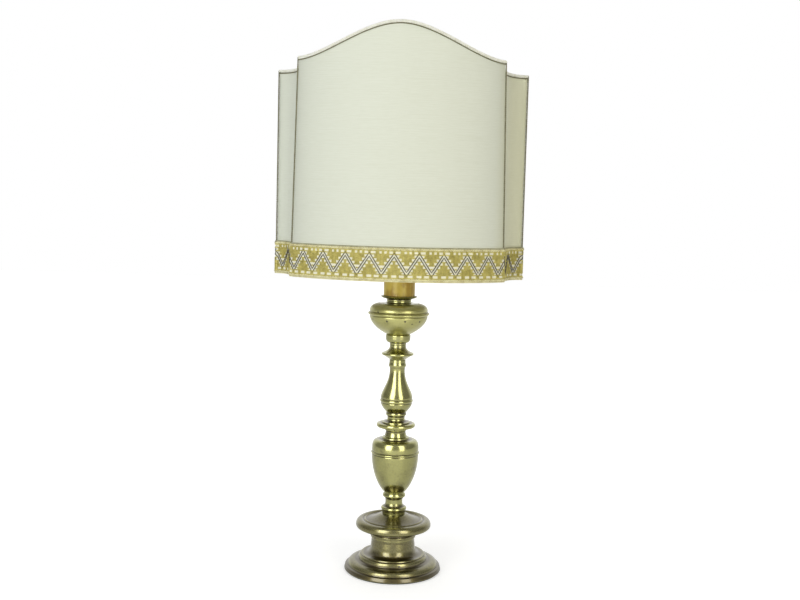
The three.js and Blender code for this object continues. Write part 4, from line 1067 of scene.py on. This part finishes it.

# pale braid over the top edges: three strands plaited, each a sine across and twice as fast a sine up,
# with a thin dark cord along its lower edge outside, which is a painted shadow of the braid on the cloth
braid = {"lift": 0.7, "across": 1.2, "over": 1.1, "strand": 0.95, "pitch": 8.4, "cord": 0.6, "shadowCordOff": 1.0,
         "shadowCordDrop": 2.4, "step": 0.6}


def plait(name, path, out):
    length = walkOf(path)
    at = np.linspace(0, length[-1], int(length[-1] / braid["step"]))
    path, out = [readAt(at, length, line) for line in (path, out)]
    over = unit(np.cross(out, np.gradient(path, axis=0)))
    over = over * np.sign(over[:, 2:])
    parts = []
    for strand in range(3):
        beat = turn * (at / braid["pitch"] + strand / 3)
        middle = path + out * (braid["across"] * np.sin(beat))[:, None]
        middle = middle + over * (braid["over"] * np.sin(2 * beat))[:, None]
        parts.append(rod(middle, braid["strand"], 8, (0.0, 0.0, 1.0)))
    addRods(name + "_plaited", parts, paleGimp, [name])
    # a painted shadow line: the dark cord just under the braid, in front of the cloth
    under = path + out * braid["shadowCordOff"] - (0, 0, braid["shadowCordDrop"])
    addRods(name + "_cord", [rod(under, braid["cord"], 8, (0.0, 0.0, 1.0))], darkCord)


def topRun(mirror):
    u = np.linspace(-1.008, 1.008, 240)
    point, out, _ = frontSurface(u, 0 * u + 1)
    return (point + (0, 0, hem + braid["lift"])) * (1, mirror, 1), out * (1, mirror, 1)


def sideRun(mirror):
    whole = mirrored(np.hstack(hemQuarter(sideTop))[hemSteps["front"] + 3:], 1, -1) * (mirror, 1, mirror, 1)
    level = np.full((len(whole), 1), hem + sideTop + braid["lift"])
    return np.hstack([whole[:, :2], level]), np.hstack([whole[:, 2:], 0 * level])


plait("front_braid", *topRun(1))
plait("back_braid", *topRun(-1))
plait("right_braid", *sideRun(1))
plait("left_braid", *sideRun(-1))

# piping up the front's edges and the side corners, a two-ply cord
piping = {"radius": 0.85, "off": 1.1, "pitch": 4.6, "depth": 0.3, "from": 39.8, "pastTop": 0.8}
uprights = {"edge": (frontCorner, cornerTop), "side": (sideCorner, sideTop)}


def upCorner(corner, low, high, count, off):
    z = np.linspace(low, high, count)
    spot, out = corner(z)
    return np.column_stack([spot + out * off, z + hem])


for kind, (corner, top) in uprights.items():
    path = upCorner(corner, piping["from"], top + piping["pastTop"], 300, piping["off"])
    for label, mirror in quarters.items():
        cord = rod(path * (*mirror, 1), piping["radius"], 12, (0, 1, 0), False,
                   rope(piping["pitch"], piping["depth"]))
        addRods(f"{kind}_piping_{label}_twisted", [cord], darkCord, [f"{kind}_piping_{label}"])
print("braid and piping sewn")

# wire frame inside the cloth, with the fitter ring and the arms that carry it
wire = {"radius": 1.6, "off": -2.4, "margin": 4.0, "steps": 700, "arm": 1.8, "armBite": 0.4, "armRise": 1.0,
        "ringRise": 39.0, "ringInner": 19.7, "ringOuter": 29.3, "ringThick": 2.0}


def wireFrame():
    s = np.arange(wire["steps"]) * hemLength / wire["steps"]
    parts = [rod(onHem(s, wire["margin"], wire["off"]), wire["radius"], 10, (0, 0, 1), True)]
    for mirror in (1, -1):
        for path, out in (topRun(mirror), sideRun(mirror)):
            inside = path + out * wire["off"] - (0, 0, wire["margin"] + braid["lift"])
            parts.append(rod(inside, wire["radius"], 10, (0, 0, 1)))
    for corner, top in uprights.values():
        path = upCorner(corner, wire["margin"], top - wire["margin"], 12, wire["off"])
        parts += [rod(path * (x, y, 1), wire["radius"], 10, (0, 1, 0)) for x, y in quarters.values()]
    addRods("wire_frame_bent", parts, wirePaint, ["wire_frame"])


def arm(name, reach, direction):
    inner = wire["ringOuter"] - wire["armBite"], hem + wire["ringRise"] + wire["armRise"]
    outer = reach + wire["off"] - wire["radius"] + wire["armBite"], hem + wire["margin"]
    away, height = np.linspace(inner, outer, 24).T
    path = np.column_stack([away * direction[0], away * direction[1], height])
    addRods(name + "_bent", [rod(path, wire["arm"], 12, (0, 0, 1))], wirePaint, [name])


wireFrame()
turned("fitter_ring_pressed", tube(wire["ringInner"], wire["ringOuter"], wire["ringThick"]), wirePaint,
       "shade", ["fitter_ring"], 72, hem + wire["ringRise"], 0.4, 0.3)
arm("arm_right", sideX, (1, 0))
arm("arm_left", sideX, (-1, 0))
arm("arm_front", frontReach, (0, -1))
arm("arm_back", frontReach, (0, 1))
print("frame hung")

print("lamp finished")
